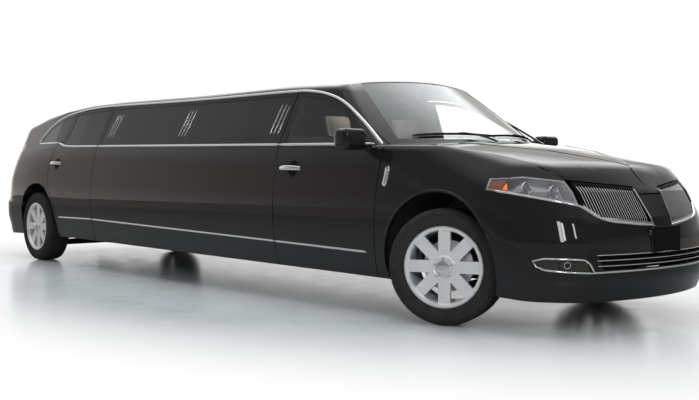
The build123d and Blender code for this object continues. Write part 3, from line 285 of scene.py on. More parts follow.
# %% [markdown]
# The body's shape is a few smooth surfaces: the curved sides, the crown of the bonnet, the nose, the
# tail, and the leaning sides, shoulders and crown of the roof. They are written here as functions,
# in metres, with the same sizes as the CAD. The panels take their shading from them, and the strips
# and fittings are laid on them.

# %% Surfaces of the body
BELT_Z, BELT_SLOPE = 1.196, -0.0165
SILL_Z, SILL_SLOPE = 0.270, -0.0064
LEAN, LEAN_Z, LEAN_Y = 0.445, 1.200, 0.893
TIP_X = 4.1605


def belt_z(x):
    return BELT_Z + BELT_SLOPE * x


def lean_y(z):
    return LEAN_Y - LEAN * (z - LEAN_Z)


def cabin_station(x):
    belt = belt_z(x)
    return (x, SILL_Z + SILL_SLOPE * x, 0.905, 0.965, 0.680, lean_y(belt), belt, belt + 0.001)


# Place, sill height and half width, widest half width and height, shoulder half width and height, crown
LOWER = np.array([
    (-4.250, 0.250, 0.830, 0.870, 0.660, 0.720, 1.130, 1.250),
    (-3.700, 0.262, 0.880, 0.925, 0.690, 0.795, 1.215, 1.264),
    (-3.200, 0.276, 0.900, 0.960, 0.700, 0.842, 1.244, 1.260),
    (-2.600, 0.284, 0.905, 0.965, 0.690, 0.868, 1.240, 1.241),
    cabin_station(-2.100), cabin_station(-1.500), cabin_station(1.300), cabin_station(2.100),
    (2.600, 0.252, 0.905, 0.965, 0.680, 0.905, 1.147, 1.200),
    (3.050, 0.240, 0.905, 0.965, 0.680, 0.832, 1.138, 1.172),
    (3.467, 0.225, 0.900, 0.962, 0.670, 0.775, 1.064, 1.115),
    (3.814, 0.207, 0.870, 0.935, 0.650, 0.715, 0.985, 1.036),
    (4.230, 0.200, 0.820, 0.890, 0.620, 0.640, 0.850, 0.890),
])
# Place, inward taper, top of the leaning side, roof shoulder and crown heights
UPPER = np.array([
    (-4.000, 0.135, 1.410, 1.465, 1.512), (-3.200, 0.040, 1.530, 1.588, 1.656),
    (-2.700, 0.008, 1.588, 1.636, 1.697),
    (-2.100, 0, 1.625, 1.667, 1.712), (-1.500, 0, 1.628, 1.668, 1.711), (0, 0, 1.600, 1.649, 1.704),
    (1.300, 0, 1.592, 1.644, 1.698), (2.000, 0, 1.562, 1.614, 1.666), (2.850, 0, 1.490, 1.540, 1.590),
])
SHOULDER_RUN = 0.069
# Height and how far behind the tip the outline lies
NOSE_LEVELS = np.array([(0.150, 0.070), (0.320, 0.002), (0.440, 0), (0.560, 0.002), (0.690, 0.036),
                        (0.850, 0.125), (1.000, 0.262), (1.300, 0.620)])
TAIL_LEVELS = np.array([(0.150, 0.110), (0.366, 0.060), (0.459, 0.004), (0.560, 0),
                        (0.630, 0.010), (0.665, 0.075), (0.900, 0.110), (1.075, 0.190),
                        (1.209, 0.235), (1.500, 0.275), (1.760, 0.420)])
# Half outline: end of the face arc, middle and end of the corner arc, as distance back and half width
NOSE_CORNER = ((0.114, 0.650), (0.320, 0.840), (0.710, 0.975))
TAIL_CORNER = ((0.110, 0.620), (0.215, 0.815), (0.560, 0.975))


def straight(table, x):
    """Each column of the table at x, joined by straight lines as in the CAD."""
    return [np.interp(x, table[:, 0], table[:, i]) for i in range(1, table.shape[1])]


def smooth(table, x):
    """Each column of the table at x, joined by smooth curves."""
    xs = table[:, 0]
    step = np.diff(xs)
    secant = np.diff(table, axis=0) / step[:, None]
    inner = (secant[:-1] * step[1:, None] + secant[1:] * step[:-1, None]) / (step[:-1] + step[1:])[:, None]
    slope = np.vstack([secant[:1], inner, secant[-1:]])
    i = np.clip(np.searchsorted(xs, x) - 1, 0, len(step) - 1)
    t = np.clip((x - xs[i]) / step[i], 0, 1)[:, None]
    h = step[i][:, None]
    rows = ((2 * t**3 - 3 * t**2 + 1) * table[i] + (t**3 - 2 * t**2 + t) * h * slope[i]
            + (3 * t**2 - 2 * t**3) * table[i + 1] + (t**3 - t**2) * h * slope[i + 1])
    return [rows[:, k] for k in range(1, table.shape[1])]


def side_y(x, z, join=straight):
    """Half width of the lower body at x and z."""
    sill_z, sill_y, wide_y, wide_z, shoulder_y, shoulder_z, _ = join(LOWER, x)
    high = z > wide_z
    inset = wide_y - np.where(high, shoulder_y, sill_y)
    rise = np.where(high, shoulder_z - wide_z, wide_z - sill_z)
    radius = (inset**2 + rise**2) / (2 * inset)
    return wide_y - radius + np.sqrt(np.maximum(radius**2 - (z - wide_z) ** 2, 0))


def crown_z(x, y, join=straight):
    """Height of the bonnet or boot crown at x and half width y."""
    *_, shoulder_y, shoulder_z, crown = join(LOWER, x)
    rise = crown - shoulder_z
    radius = (shoulder_y**2 + rise**2) / (2 * rise)
    return crown - radius + np.sqrt(np.maximum(radius**2 - y**2, 0))


def circle_through(a, b, c):
    (ax, ay), (bx, by), (cx, cy) = a, b, c
    d = 2 * (ax * (by - cy) + bx * (cy - ay) + cx * (ay - by))
    ux = ((ax**2 + ay**2) * (by - cy) + (bx**2 + by**2) * (cy - ay) + (cx**2 + cy**2) * (ay - by)) / d
    uy = ((ax**2 + ay**2) * (cx - bx) + (bx**2 + by**2) * (ax - cx) + (cx**2 + cy**2) * (bx - ax)) / d
    return ux, uy, sqrt((ax - ux) ** 2 + (ay - uy) ** 2)


def outline_back(y, corner):
    """How far behind the tip the plan outline lies at half width y."""
    face, middle, side = corner
    radius = (face[1] ** 2 + face[0] ** 2) / (2 * face[0])
    on_face = radius - np.sqrt(np.maximum(radius**2 - y**2, 0))
    back, half, bend = circle_through(face, middle, side)
    sideways = np.sqrt(np.maximum(bend**2 - (np.minimum(y, side[1]) - half) ** 2, 1e-9))
    on_corner = back - sideways
    return np.where(y < face[1], on_face, on_corner)


def nose_x(y, z):
    return TIP_X - np.interp(z, NOSE_LEVELS[:, 0], NOSE_LEVELS[:, 1]) - outline_back(y, NOSE_CORNER)


def tail_x(y, z):
    return -TIP_X + np.interp(z, TAIL_LEVELS[:, 0], TAIL_LEVELS[:, 1]) + outline_back(y, TAIL_CORNER)


print("nose at the lamp", float(nose_x(0.8, 0.86)), "tail at the lamp", float(tail_x(0.8, 1.0)))

# %% [markdown]
# A packed panel is made of flat strips between its CAD sections, which a glossy paint would show as
# kinks. Each painted panel is copied, cut into small cells, and given the normals of the smooth
# surface it lies on. Its points don't move. Where two surfaces meet, as along the nose, their
# normals are mixed over a few centimetres, which reads as the rounded edge of pressed steel.

# %% Smooth normals
SCREEN_FOOT = Vector((2.810, 0, 1.190))
SCREEN_UP = (Vector((2.110, 0, 1.640)) - SCREEN_FOOT).normalized()
SCREEN_OUT = Vector((SCREEN_UP.z, 0, -SCREEN_UP.x))
SCREEN_RADIUS = 2.2
MIX_WIDTH = 0.045
SKIN_REACH = 0.016
# A surface that doesn't apply at a point is given this distance, in metres
FAR_OFF = 9.0


def lower_side(p):
    return p[:, 1] - side_y(p[:, 0], p[:, 2], smooth)


def lower_crown(p):
    return p[:, 2] - crown_z(p[:, 0], p[:, 1], smooth)


def nose(p):
    return p[:, 0] - nose_x(p[:, 1], p[:, 2])


def tail(p):
    return tail_x(p[:, 1], p[:, 2]) - p[:, 0]


def roof_side(p):
    taper = smooth(UPPER, p[:, 0])[0]
    return p[:, 1] - lean_y(p[:, 2]) + taper


def roof_shoulder(p):
    taper, side_z, shoulder_z, _ = smooth(UPPER, p[:, 0])
    start = np.stack([lean_y(side_z) - taper, side_z], 1)
    end = np.stack([start[:, 0] - SHOULDER_RUN, shoulder_z], 1)
    inward = -np.array([1.0, LEAN]) / sqrt(1 + LEAN**2)
    chord = end - start
    radius = (chord**2).sum(1) / (2 * chord @ inward)
    centre = start + radius[:, None] * inward
    return np.hypot(p[:, 1] - centre[:, 0], p[:, 2] - centre[:, 1]) - radius


def roof_crown(p):
    taper, side_z, shoulder_z, crown = smooth(UPPER, p[:, 0])
    half = lean_y(side_z) - taper - SHOULDER_RUN
    rise = crown - shoulder_z
    radius = (half**2 + rise**2) / (2 * rise)
    return p[:, 2] - crown + radius - np.sqrt(np.maximum(radius**2 - p[:, 1] ** 2, 0))


def screen(p):
    out = (p - np.array(SCREEN_FOOT)) @ np.array(SCREEN_OUT) + SCREEN_RADIUS
    return np.hypot(out, p[:, 1]) - SCREEN_RADIUS


def above_belt(p, margin=0.0):
    return p[:, 2] > belt_z(p[:, 0]) - margin


def surface_fields(p):
    """Distance and outward normal of each surface at points p with y >= 0."""
    step = 0.002
    fields = []
    upper = above_belt(p, 0.004) & ((p[:, 0] < 2.3) | (roof_side(p) > -0.02) | (np.abs(screen(p)) < 0.02))
    side_z = np.interp(p[:, 0], UPPER[:, 0], UPPER[:, 2])
    shoulder_y = lean_y(side_z) - np.interp(p[:, 0], UPPER[:, 0], UPPER[:, 1]) - SHOULDER_RUN
    valid = {
        lower_side: ~upper, lower_crown: ~upper & (p[:, 0] > 2.45),
        nose: p[:, 0] > 3.0, tail: p[:, 0] < -3.2,
        roof_side: upper & (p[:, 2] < side_z + 0.004),
        roof_shoulder: upper & (p[:, 2] > side_z - 0.004) & (p[:, 1] > shoulder_y - 0.004),
        roof_crown: upper & (p[:, 1] < shoulder_y + 0.004), screen: upper & (p[:, 0] > 1.5),
    }
    for field, where in valid.items():
        value = field(p)
        slopes = [(field(p + step * axis) - field(p - step * axis)) / (2 * step) for axis in np.eye(3)]
        gradient = np.stack(slopes, 1)
        size = np.maximum(np.linalg.norm(gradient, axis=1), 1e-6)
        distance = np.where(where, value / size, FAR_OFF)
        fields.append((distance, gradient / size[:, None]))
    return fields


def skin_normals(points):
    """Mixed normal of the body's surfaces at each point, and how near the nearest one is."""
    p = points.copy()
    left = p[:, 1] > 0
    p[:, 1] = np.abs(p[:, 1])
    total = np.zeros_like(p)
    nearest = np.full(len(p), FAR_OFF)
    for distance, normal in surface_fields(p):
        weight = np.clip(1 - np.abs(distance) / MIX_WIDTH, 0, 1) ** 2
        total += weight[:, None] * normal
        nearest = np.minimum(nearest, np.abs(distance))
    total[:, 1] = np.where(left, total[:, 1], -total[:, 1])
    size = np.linalg.norm(total, axis=1)
    return total / np.maximum(size, 1e-6)[:, None], np.where(size > 1e-6, nearest, FAR_OFF)


# %% [markdown]
# The cells are cut by planes across the panel. Only corners whose face follows the skin take the
# smooth normal. Edges, flanges and the inside keep their own.

# %% Smooth panels
CELL = Vector((0.09, 0.09, 0.05))
PANEL_CREASE = radians(30)
# Least cosine between a flat face and the skin's normal: for its whole face, and for a corner
FACE_MATCH, CORNER_MATCH = 0.72, 0.5


def cell_cut(mesh_data, low, high):
    for axis in range(3):
        normal = Vector((axis == 0, axis == 1, axis == 2))
        count = int((high[axis] - low[axis]) / CELL[axis])
        for k in range(1, count + 1):
            place = low + normal * CELL[axis] * k
            bmesh.ops.bisect_plane(
                mesh_data, geom=mesh_data.verts[:] + mesh_data.edges[:] + mesh_data.faces[:],
                dist=1e-5, plane_co=place, plane_no=normal)


def smooth_panel(node, finish):
    """A copy of a painted node with smooth normals, which replaces the node."""
    mesh = bpy.data.meshes.new(node + "_skin")
    work = bmesh.new()
    work.from_mesh(nodes[node].data)
    bmesh.ops.remove_doubles(work, verts=work.verts[:], dist=2e-5)
    low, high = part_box(node)
    cell_cut(work, low, high)
    work.to_mesh(mesh)
    work.free()
    mesh.shade_smooth()
    mesh.set_sharp_from_angle(angle=PANEL_CREASE)
    count = len(mesh.loops)
    corner = np.zeros(count * 3, np.float32)
    mesh.corner_normals.foreach_get("vector", corner)
    corner = corner.reshape(-1, 3).astype(float)
    vertex = np.zeros(count, np.int32)
    mesh.loops.foreach_get("vertex_index", vertex)
    place = np.zeros(len(mesh.vertices) * 3, np.float32)
    mesh.vertices.foreach_get("co", place)
    place = place.reshape(-1, 3).astype(float)
    starts = np.zeros(len(mesh.polygons), np.int32)
    sizes = np.zeros(len(mesh.polygons), np.int32)
    mesh.polygons.foreach_get("loop_start", starts)
    mesh.polygons.foreach_get("loop_total", sizes)
    flat = np.zeros(len(mesh.polygons) * 3, np.float32)
    mesh.polygons.foreach_get("normal", flat)
    flat = flat.reshape(-1, 3).astype(float)
    centre = np.add.reduceat(place[vertex], starts, axis=0) / sizes[:, None]
    face_smooth, face_gap = skin_normals(centre)
    on_skin = (face_gap < SKIN_REACH) & ((face_smooth * flat).sum(1) > FACE_MATCH)
    point_smooth, _ = skin_normals(place)
    face_of = np.repeat(np.arange(len(starts)), sizes)
    wanted = point_smooth[vertex]
    use = on_skin[face_of] & ((wanted * flat[face_of]).sum(1) > CORNER_MATCH)
    corner[use] = wanted[use]
    mesh.normals_split_custom_set(corner.tolist())
    mesh.materials.append(finish.material)
    piece = bpy.data.objects.new(node + "_skin", mesh)
    bpy.context.scene.collection.objects.link(piece)
    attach(piece, BODY_OF[node])
    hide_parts(node)
    return piece, int(use.sum()), count


PAINTED = [s["node"] for s in record["subparts"] if s["material_slot"] == "paint"]
for node in PAINTED:
    piece, followed, corners = smooth_panel(node, paint)
    print(node, "corners", corners, "smooth", followed)

# %% [markdown]
# The bright strips on a car are thin half-round bars clipped to the skin. One helper sweeps such a
# bar along a line of points that lie on the skin, with the outward direction known at each point.
# The right side is built, and the left side is its mirror image. A strip that crosses a shut line
# is one piece for each door or panel, so that it opens with it.

# %% Mesh helpers


def add_piece(name, verts, faces, finish, body, slot, crease=40):
    mesh = bpy.data.meshes.new(name)
    mesh.from_pydata([tuple(v) for v in verts], [], faces)
    work = bmesh.new()
    work.from_mesh(mesh)
    bmesh.ops.remove_doubles(work, verts=work.verts[:], dist=1e-6)
    bmesh.ops.recalc_face_normals(work, faces=work.faces[:])
    work.to_mesh(mesh)
    work.free()
    mesh.shade_smooth()
    mesh.set_sharp_from_angle(angle=radians(crease))
    mesh.materials.append(finish.material)
    piece = bpy.data.objects.new(name, mesh)
    bpy.context.scene.collection.objects.link(piece)
    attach(piece, body)
    return piece


def both_sides(build, name, body, *rest):
    """Makes a right piece and its mirror image. A body or name that says right gets its left twin."""
    verts, faces = build
    for side, sign in (("right", 1), ("left", -1)):
        twin = [Vector((v[0], v[1] * sign, v[2])) for v in verts]
        add_piece(name + "_" + side, twin, faces, rest[0], body.replace("right", side), *rest[1:])


def bar_along(path, outward, width, height, segments=6, sink=0.002, taper=True):
    """Verts and faces of a half-round bar; path and outward are lists of points and directions."""
    verts = []
    last = len(path) - 1
    for i, (place, out) in enumerate(zip(path, outward)):
        ahead = (path[min(i + 1, last)] - path[max(i - 1, 0)]).normalized()
        across = ahead.cross(out).normalized()
        size = 0.55 if taper and i in (0, last) else 1.0
        turns = [pi * k / segments for k in range(segments + 1)]
        ring = [place + across * cos(a) * width / 2 * size + out * sin(a) * height * size for a in turns]
        ring.append(place - across * width / 2 * size - out * sink)
        ring.append(place + across * width / 2 * size - out * sink)
        verts += ring
    ring_size = segments + 3
    faces = []
    for i in range(last):
        for k in range(ring_size):
            a, b = i * ring_size + k, i * ring_size + (k + 1) % ring_size
            faces.append((a, b, b + ring_size, a + ring_size))
    faces.append(tuple(range(ring_size)))
    faces.append(tuple(last * ring_size + k for k in range(ring_size)))
    return verts, faces


def resample(points, pitch=0.04):
    """Points along a broken line at about the given pitch."""
    points = [np.array(p, float) for p in points]
    out = [points[0]]
    for a, b in zip(points, points[1:]):
        count = max(1, int(np.linalg.norm(b - a) / pitch))
        out += [a + (b - a) * k / count for k in range(1, count + 1)]
    return out


def rounded(points, passes=3):
    """Cuts the corners of a broken line, keeping its ends."""
    for _ in range(passes):
        cut = [points[0]]
        for a, b in zip(points, points[1:]):
            a, b = np.array(a, float), np.array(b, float)
            cut += [a * 0.75 + b * 0.25, a * 0.25 + b * 0.75]
        points = cut + [points[-1]]
    return points


def on_side(x, z, lift=0.0):
    """Point and outward direction on the right side, on the glass above the belt and the skin below."""
    taper = float(np.interp(x, UPPER[:, 0], UPPER[:, 1]))
    if z > belt_z(x) + 0.002 and x < 2.62:
        out = Vector((0, -1, LEAN)).normalized()
        return Vector((x, -(lean_y(z) - taper), z)) + out * lift, out
    xs, zs, step = np.array([x, x, x]), np.array([z, z + 0.01, z - 0.01]), 0.02
    y = side_y(xs, zs)
    slope = (y[1] - y[2]) / step
    ahead = (float(side_y(xs[:1] + 0.01, zs[:1])[0]) - float(side_y(xs[:1] - 0.01, zs[:1])[0])) / step
    out = Vector((-ahead, -1, -slope)).normalized()
    return Vector((x, -float(y[0]), z)) + out * lift, out


def side_bar(points, width, height, lift=0.0, pitch=0.04, taper=True):
    laid = [on_side(float(x), float(z), lift) for x, z in resample(points, pitch)]
    return bar_along([p for p, _ in laid], [n for _, n in laid], width, height, taper=taper)


# %% [markdown]
# Two bright lines frame the side glass: one along the top, from the mirror to the tail, and one
# along the belt, which steps up behind the rear door. A thinner one runs low along the doors.

# %% Bright strips on the sides
TOP_LINE = [
    (2.581, 1.146), (2.437, 1.240), (2.252, 1.350), (2.015, 1.478), (1.799, 1.545), (1.594, 1.577),
    (1.391, 1.590), (0, 1.598), (-0.700, 1.611), (-1.521, 1.627), (-1.908, 1.629), (-2.301, 1.612),
    (-2.700, 1.566), (-2.950, 1.482), (-3.080, 1.392), (-3.170, 1.292),
]
STRIP_WIDTH, STRIP_HEIGHT = 0.020, 0.006
LOW_WIDTH, LOW_HEIGHT = 0.017, 0.007
BAR_PITCH, BAR_WIDTH, BAR_HEIGHT, BAR_SINK = 0.052, 0.012, 0.005, 0.003
top_strip = rounded([(x, z + 0.010) for x, z in TOP_LINE])
both_sides(side_bar(top_strip, STRIP_WIDTH, STRIP_HEIGHT), "top_strip", "body", chrome, "bright_trim")

DOOR_SHUTS = {"front": 1.4165, "rear": -1.618}
SHUT = 0.0045
BELT_KINK = [(-2.590, 1.2835), (-2.520, 1.272), (-2.440, 1.253), (-2.330, 1.243)]


def belt_points(x_from, x_to):
    return [(x, belt_z(x) + 0.006) for x in np.linspace(x_from, x_to, 8)]


FRONT_SHUT, REAR_SHUT = DOOR_SHUTS["front"], DOOR_SHUTS["rear"]
BELT_STRIPS = {
    "front_door": ("front_door_right", belt_points(2.500, FRONT_SHUT + SHUT)),
    "side": ("body", belt_points(FRONT_SHUT - SHUT, REAR_SHUT + SHUT)),
    "rear_door": ("rear_door_right", belt_points(REAR_SHUT - SHUT, -2.300)[:-1] + BELT_KINK[::-1]),
    "quarter": ("body", [(-2.602, 1.2845), (-2.900, 1.2860), (-3.150, 1.2880)]),
}
for place, (body, points) in BELT_STRIPS.items():
    strip = side_bar(points, STRIP_WIDTH, STRIP_HEIGHT)
    both_sides(strip, "belt_strip_" + place, body, chrome, "bright_trim")
LOW_STRIPS = {
    "front_door": ("front_door_right", [(2.456, 0.424), (FRONT_SHUT + SHUT, 0.4435)]),
    "side": ("body", [(FRONT_SHUT - SHUT, 0.444), (REAR_SHUT + SHUT, 0.497)]),
    "rear_door": ("rear_door_right", [(REAR_SHUT - SHUT, 0.498), (-2.386, 0.492)]),
}
for place, (body, points) in LOW_STRIPS.items():
    both_sides(side_bar(points, LOW_WIDTH, LOW_HEIGHT), "low_strip_" + place, body, chrome, "bright_trim")
for number, (x_low, z_low, x_high, z_high) in enumerate([
        (1.244, 1.265, 1.280, 1.496), (-0.126, 1.286, -0.078, 1.520), (-1.482, 1.312, -1.430, 1.533)]):
    for k in range(3):
        line = [(x_low + BAR_PITCH * k, z_low), (x_high + BAR_PITCH * k, z_high)]
        both_sides(side_bar(line, BAR_WIDTH, BAR_HEIGHT, lift=-BAR_SINK),
                   f"glass_bar_{number}_{k}", "body", chrome, "bright_trim")

# %% [markdown]
# Each door has a pull handle over a round hollow. The handle is a curved bar that stands off the
# skin between its two ends. The shade in the hollow is painted: a shallow disc of matt black lies on
# the skin there.

# %% Door handles


def handle_bar(x_from, x_to, z, steps=16, sides=13):
    """A bar that stands off the skin between its two ends."""
    path, outward = [], []
    for t in np.linspace(0, 1, steps + 1):
        place, out = on_side(x_from + (x_to - x_from) * t, z)
        path.append(place + out * (0.006 + 0.034 * sin(pi * t) ** 0.5))
        outward.append(out)
    verts = []
    for i, (place, out) in enumerate(zip(path, outward)):
        across = Vector((1, 0, 0)).cross(out).normalized()
        wide = 0.015 + 0.003 * sin(pi * i / steps)
        around = np.linspace(0, 2 * pi, sides + 1)[:-1]
        verts += [place + across * cos(a) * wide + out * sin(a) * 0.009 for a in around]
    faces = []
    for start in range(0, steps * sides, sides):
        for k in range(sides):
            after = (k + 1) % sides
            faces.append((start + k, start + after, start + sides + after, start + sides + k))
    faces += [tuple(range(sides)), tuple(steps * sides + k for k in range(sides))]
    return verts, faces


def dish(x, z, radius):
    """A shallow round of the skin, raised a little at its rim."""
    verts, faces = [], []
    rings, spokes = 6, 32
    for r in range(rings + 1):
        share = r / rings
        for k in range(spokes):
            a = 2 * pi * k / spokes
            place, out = on_side(x + radius * share * cos(a), z + radius * share * sin(a))
            verts.append(place + out * (0.0006 + 0.0016 * sin(pi * share) * (1 if share > 0.5 else 0.4)))
    for r in range(rings):
        for k in range(spokes):
            a, b = r * spokes + k, r * spokes + (k + 1) % spokes
            faces.append((a, b, b + spokes, a + spokes))
    return verts, faces


# The matt black disc under each handle is painted shade of the hollow.
for door, x_from, x_to, z, dish_x in (("front_door_right", 1.490, 1.735, 0.995, 1.640),
                                      ("rear_door_right", -2.600, -2.360, 1.056, -2.465)):
    both_sides(handle_bar(x_from, x_to, z), "handle_" + door[:-6], door, chrome, "bright_trim")
    both_sides(dish(dish_x, z, 0.060), "handle_dish_" + door[:-6], door, matt_black_and_shade, "dark_plastic")

# %% [markdown]
# The nose carries a bright line under the lamps and the grille, and a bright frame round the fog
# lamp pocket that runs on as the lip of the lower opening. They are laid on the nose surface. The
# bonnet's ridge and two creases and the lips of the wheel arches are low bars in body colour.

# %% Bright strips on the nose


def on_nose(y, z, lift=0.0):
    """Point and outward direction on the nose, where the nose surface or the side is the outer one."""
    half = abs(y)
    x = float(nose_x(np.array([half]), np.array([z]))[0])
    side = float(side_y(np.array([x]), np.array([z]))[0])
    sign = -1 if y < 0 else 1
    if half < side + 0.002:
        d = 0.006
        halves, heights = np.array([half + d, half - d, half, half]), np.array([z, z, z + d, z - d])
        outer, inner, above, below = nose_x(halves, heights)
        across, up = (outer - inner) / (2 * d), (above - below) / (2 * d)
        out = Vector((1, -across * sign, -up)).normalized()
        return Vector((x, y, z)) + out * lift, out
    place, out = on_side(x, z)
    return Vector((x, sign * -place.y, z)) + out * lift, Vector((out.x, sign * -out.y, out.z))


def nose_bar(points, width, height, pitch=0.02, lift=0.0, taper=True):
    laid = [on_nose(float(y), float(z), lift) for y, z in resample(points, pitch)]
    return bar_along([p for p, _ in laid], [n for _, n in laid], width, height, taper=taper)


LAMP_LINE = [(-0.917, 0.857), (-0.800, 0.815), (-0.640, 0.773), (-0.616, 0.758), (-0.520, 0.683),
             (-0.300, 0.662), (-0.098, 0.643)]
both_sides(nose_bar(rounded(LAMP_LINE, 2), 0.014, 0.006), "lamp_line", "body", chrome, "bright_trim")
FOG_FRAME = [(-0.610, 0.384), (-0.655, 0.456), (-0.700, 0.462), (-0.868, 0.466), (-0.846, 0.402),
             (-0.760, 0.388), (-0.610, 0.380)]
both_sides(nose_bar(rounded(FOG_FRAME, 1), 0.012, 0.006), "fog_frame", "body", chrome, "bright_trim")
LOWER_LIP = [(-0.612, 0.382), (-0.3, 0.384), (0, 0.385), (0.3, 0.384), (0.612, 0.382)]
lip = nose_bar(LOWER_LIP, 0.012, 0.006, taper=False)
add_piece("lower_lip", *lip, chrome, "body", "bright_trim")

INTAKE_LEVELS = (0.420, 0.452, 0.484)
INTAKE_REACH, INTAKE_SPREAD = 0.590, 0.10
for number, z in enumerate(INTAKE_LEVELS):
    reach = INTAKE_REACH + INTAKE_SPREAD * (z - INTAKE_LEVELS[0])
    line = nose_bar([(-reach, z), (-0.3, z), (0, z), (0.3, z), (reach, z)], 0.006, 0.004, taper=False)
    add_piece(f"intake_line_{number}", *line, chrome, "body", "bright_trim")


def hood_point(x, y):
    """Point and outward direction on the bonnet's crown."""
    xs, ys, d = np.array([x]), np.array([abs(y)]), 0.01
    z = float(crown_z(xs, ys)[0])
    ahead = float(crown_z(xs + d, ys)[0] - crown_z(xs - d, ys)[0]) / (2 * d)
    return Vector((x, y, z)), Vector((-ahead, 0, 1)).normalized()


RIDGE = [on_nose(0, z) for z in (0.890, 0.925, 0.960, 0.990)] + [hood_point(3.870, 0)]
add_piece("hood_ridge", *bar_along([p for p, _ in RIDGE], [n for _, n in RIDGE], 0.030, 0.004, sink=0.004),
          paint, "hood", "paint")
CREASE = [(3.880, 0.002), (3.820, 0.045), (3.715, 0.100), (3.520, 0.218), (3.305, 0.358), (3.100, 0.480),
          (2.940, 0.560)]
crease = [hood_point(x, -y) for x, y in resample(rounded(CREASE, 2), 0.03)]
both_sides(bar_along([p for p, _ in crease], [n for _, n in crease], 0.034, 0.004, sink=0.004),
           "hood_crease", "hood", paint, "paint")


AXLE_Z, ARCH_RADIUS = 0.372, 0.4815


def arch_lip(x, angle_from, angle_to):
    turns = np.radians(np.linspace(angle_from, angle_to, 48))
    line = [(x + ARCH_RADIUS * cos(a), AXLE_Z + ARCH_RADIUS * sin(a)) for a in turns]
    return side_bar(line, 0.016, 0.006, pitch=0.05)


both_sides(arch_lip(3.110, 24, 187), "arch_lip_front", "body", paint, "paint")
both_sides(arch_lip(-2.933, 60, 160), "arch_lip_rear", "body", paint, "paint")

# %% [markdown]
# The grille is one casting in the CAD. Its copy is split by face: what faces ahead near the lower
# and inner edges, and the front edge of each upright, is bright, and the rest is black. The black
# along the top and outer edges is the frame's own colour; the black on the sides of the uprights is
# painted shade, chosen by the way each face points.

# %% Grille in two finishes
WING = [(-0.137, 0.874), (-0.600, 0.913), (-0.621, 0.765), (-0.525, 0.689), (-0.098, 0.648)]
BRIGHT_EDGES = (2, 3, 4)
RIM_WIDTH = 0.017


def edge_gap(y, z, a, b):
    """Distance of a point from the line between a and b."""
    ay, az = a
    by, bz = b
    share = ((y - ay) * (by - ay) + (z - az) * (bz - az)) / ((by - ay) ** 2 + (bz - az) ** 2)
    t = min(max(share, 0), 1)
    return sqrt((y - ay - t * (by - ay)) ** 2 + (z - az - t * (bz - az)) ** 2)


def is_bright(face):
    y, z = -abs(face.center.y), face.center.z
    gaps = [edge_gap(y, z, WING[k], WING[(k + 1) % len(WING)]) for k in range(len(WING))]
    nearest = gaps.index(min(gaps))
    # Away from the rim, a face that doesn't point ahead, such as the side of an upright, goes black as
    # painted shade.
    if min(gaps) > RIM_WIDTH:
        return face.normal.x > 0.45
    return nearest in BRIGHT_EDGES and face.normal.x > 0.2


def split_node(node, chosen, bright, dark):
    """Two copies of a node, one with the chosen faces and one with the rest."""
    source = nodes[node].data
    for name, finish, wanted in (("bright", bright, True), ("dark", dark, False)):
        mesh = bpy.data.meshes.new(f"{node}_{name}")
        work = bmesh.new()
        work.from_mesh(source)
        work.normal_update()
        for face in work.faces:
            face.tag = (face.index in chosen) != wanted
        bmesh.ops.delete(work, geom=[f for f in work.faces if f.tag], context="FACES")
        work.to_mesh(mesh)
        work.free()
        mesh.materials.clear()
        mesh.materials.append(finish.material)
        piece = bpy.data.objects.new(f"{node}_{name}", mesh)
        bpy.context.scene.collection.objects.link(piece)
        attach(piece, BODY_OF[node])
        if wanted:
            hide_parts(node)
        print(piece.name, len(mesh.polygons))


grille_bright = {face.index for face in nodes["grille"].data.polygons if is_bright(face)}
split_node("grille", grille_bright, chrome, matt_black_and_shade)

# %% [markdown]
# Inside each lamp stand two round projectors with bright rings, and the rear corner is an amber
# marker. They sit just behind the clear cover.

# %% Lamp details


def lathe(centre, axis, profile, segments=32, hollow=False):
    """Turned form: profile is (distance along the axis, radius). A hollow one is a ring."""
    axis = Vector(axis).normalized()
    side = axis.cross(Vector((0, 0, 1)) if abs(axis.z) < 0.9 else Vector((1, 0, 0))).normalized()
    other = axis.cross(side)
    turns = [2 * pi * k / segments for k in range(segments)]
    verts = [Vector(centre) + axis * d + (side * cos(a) + other * sin(a)) * r
             for d, r in profile for a in turns]
    faces = []
    for start in range(0, (len(profile) - 1) * segments, segments):
        for k in range(segments):
            after = (k + 1) % segments
            faces.append((start + k, start + after, start + segments + after, start + segments + k))
    last = (len(profile) - 1) * segments
    if hollow:
        faces += [(last + k, last + (k + 1) % segments, (k + 1) % segments, k) for k in range(segments)]
    else:
        faces += [tuple(range(segments)), tuple(last + k for k in range(segments))]
    return verts, faces


def skin_patch(corners, place_of, depth, thickness, columns=12, rows=6):
    """A thin patch behind the skin; corners are (a, b) pairs in the skin's own two coordinates."""
    verts, faces = [], []
    for layer in (depth, depth + thickness):
        for i in range(columns + 1):
            for j in range(rows + 1):
                s, t = i / columns, j / rows
                low = np.array(corners[0]) * (1 - s) + np.array(corners[1]) * s
                high = np.array(corners[3]) * (1 - s) + np.array(corners[2]) * s
                a, b = low * (1 - t) + high * t
                place, out = place_of(float(a), float(b))
                verts.append(place - out * layer)
    size = (columns + 1) * (rows + 1)
    for i in range(columns):
        for j in range(rows):
            a = i * (rows + 1) + j
            quad = (a, a + 1, a + rows + 2, a + rows + 1)
            faces += [quad, tuple(size + k for k in quad[::-1])]
    edge = [i * (rows + 1) for i in range(columns + 1)]
    edge += [columns * (rows + 1) + j for j in range(1, rows + 1)]
    edge += [i * (rows + 1) + rows for i in range(columns - 1, -1, -1)]
    edge += list(range(rows - 1, 0, -1))
    for a, b in zip(edge, edge[1:] + edge[:1]):
        faces.append((a, b, size + b, size + a))
    return verts, faces


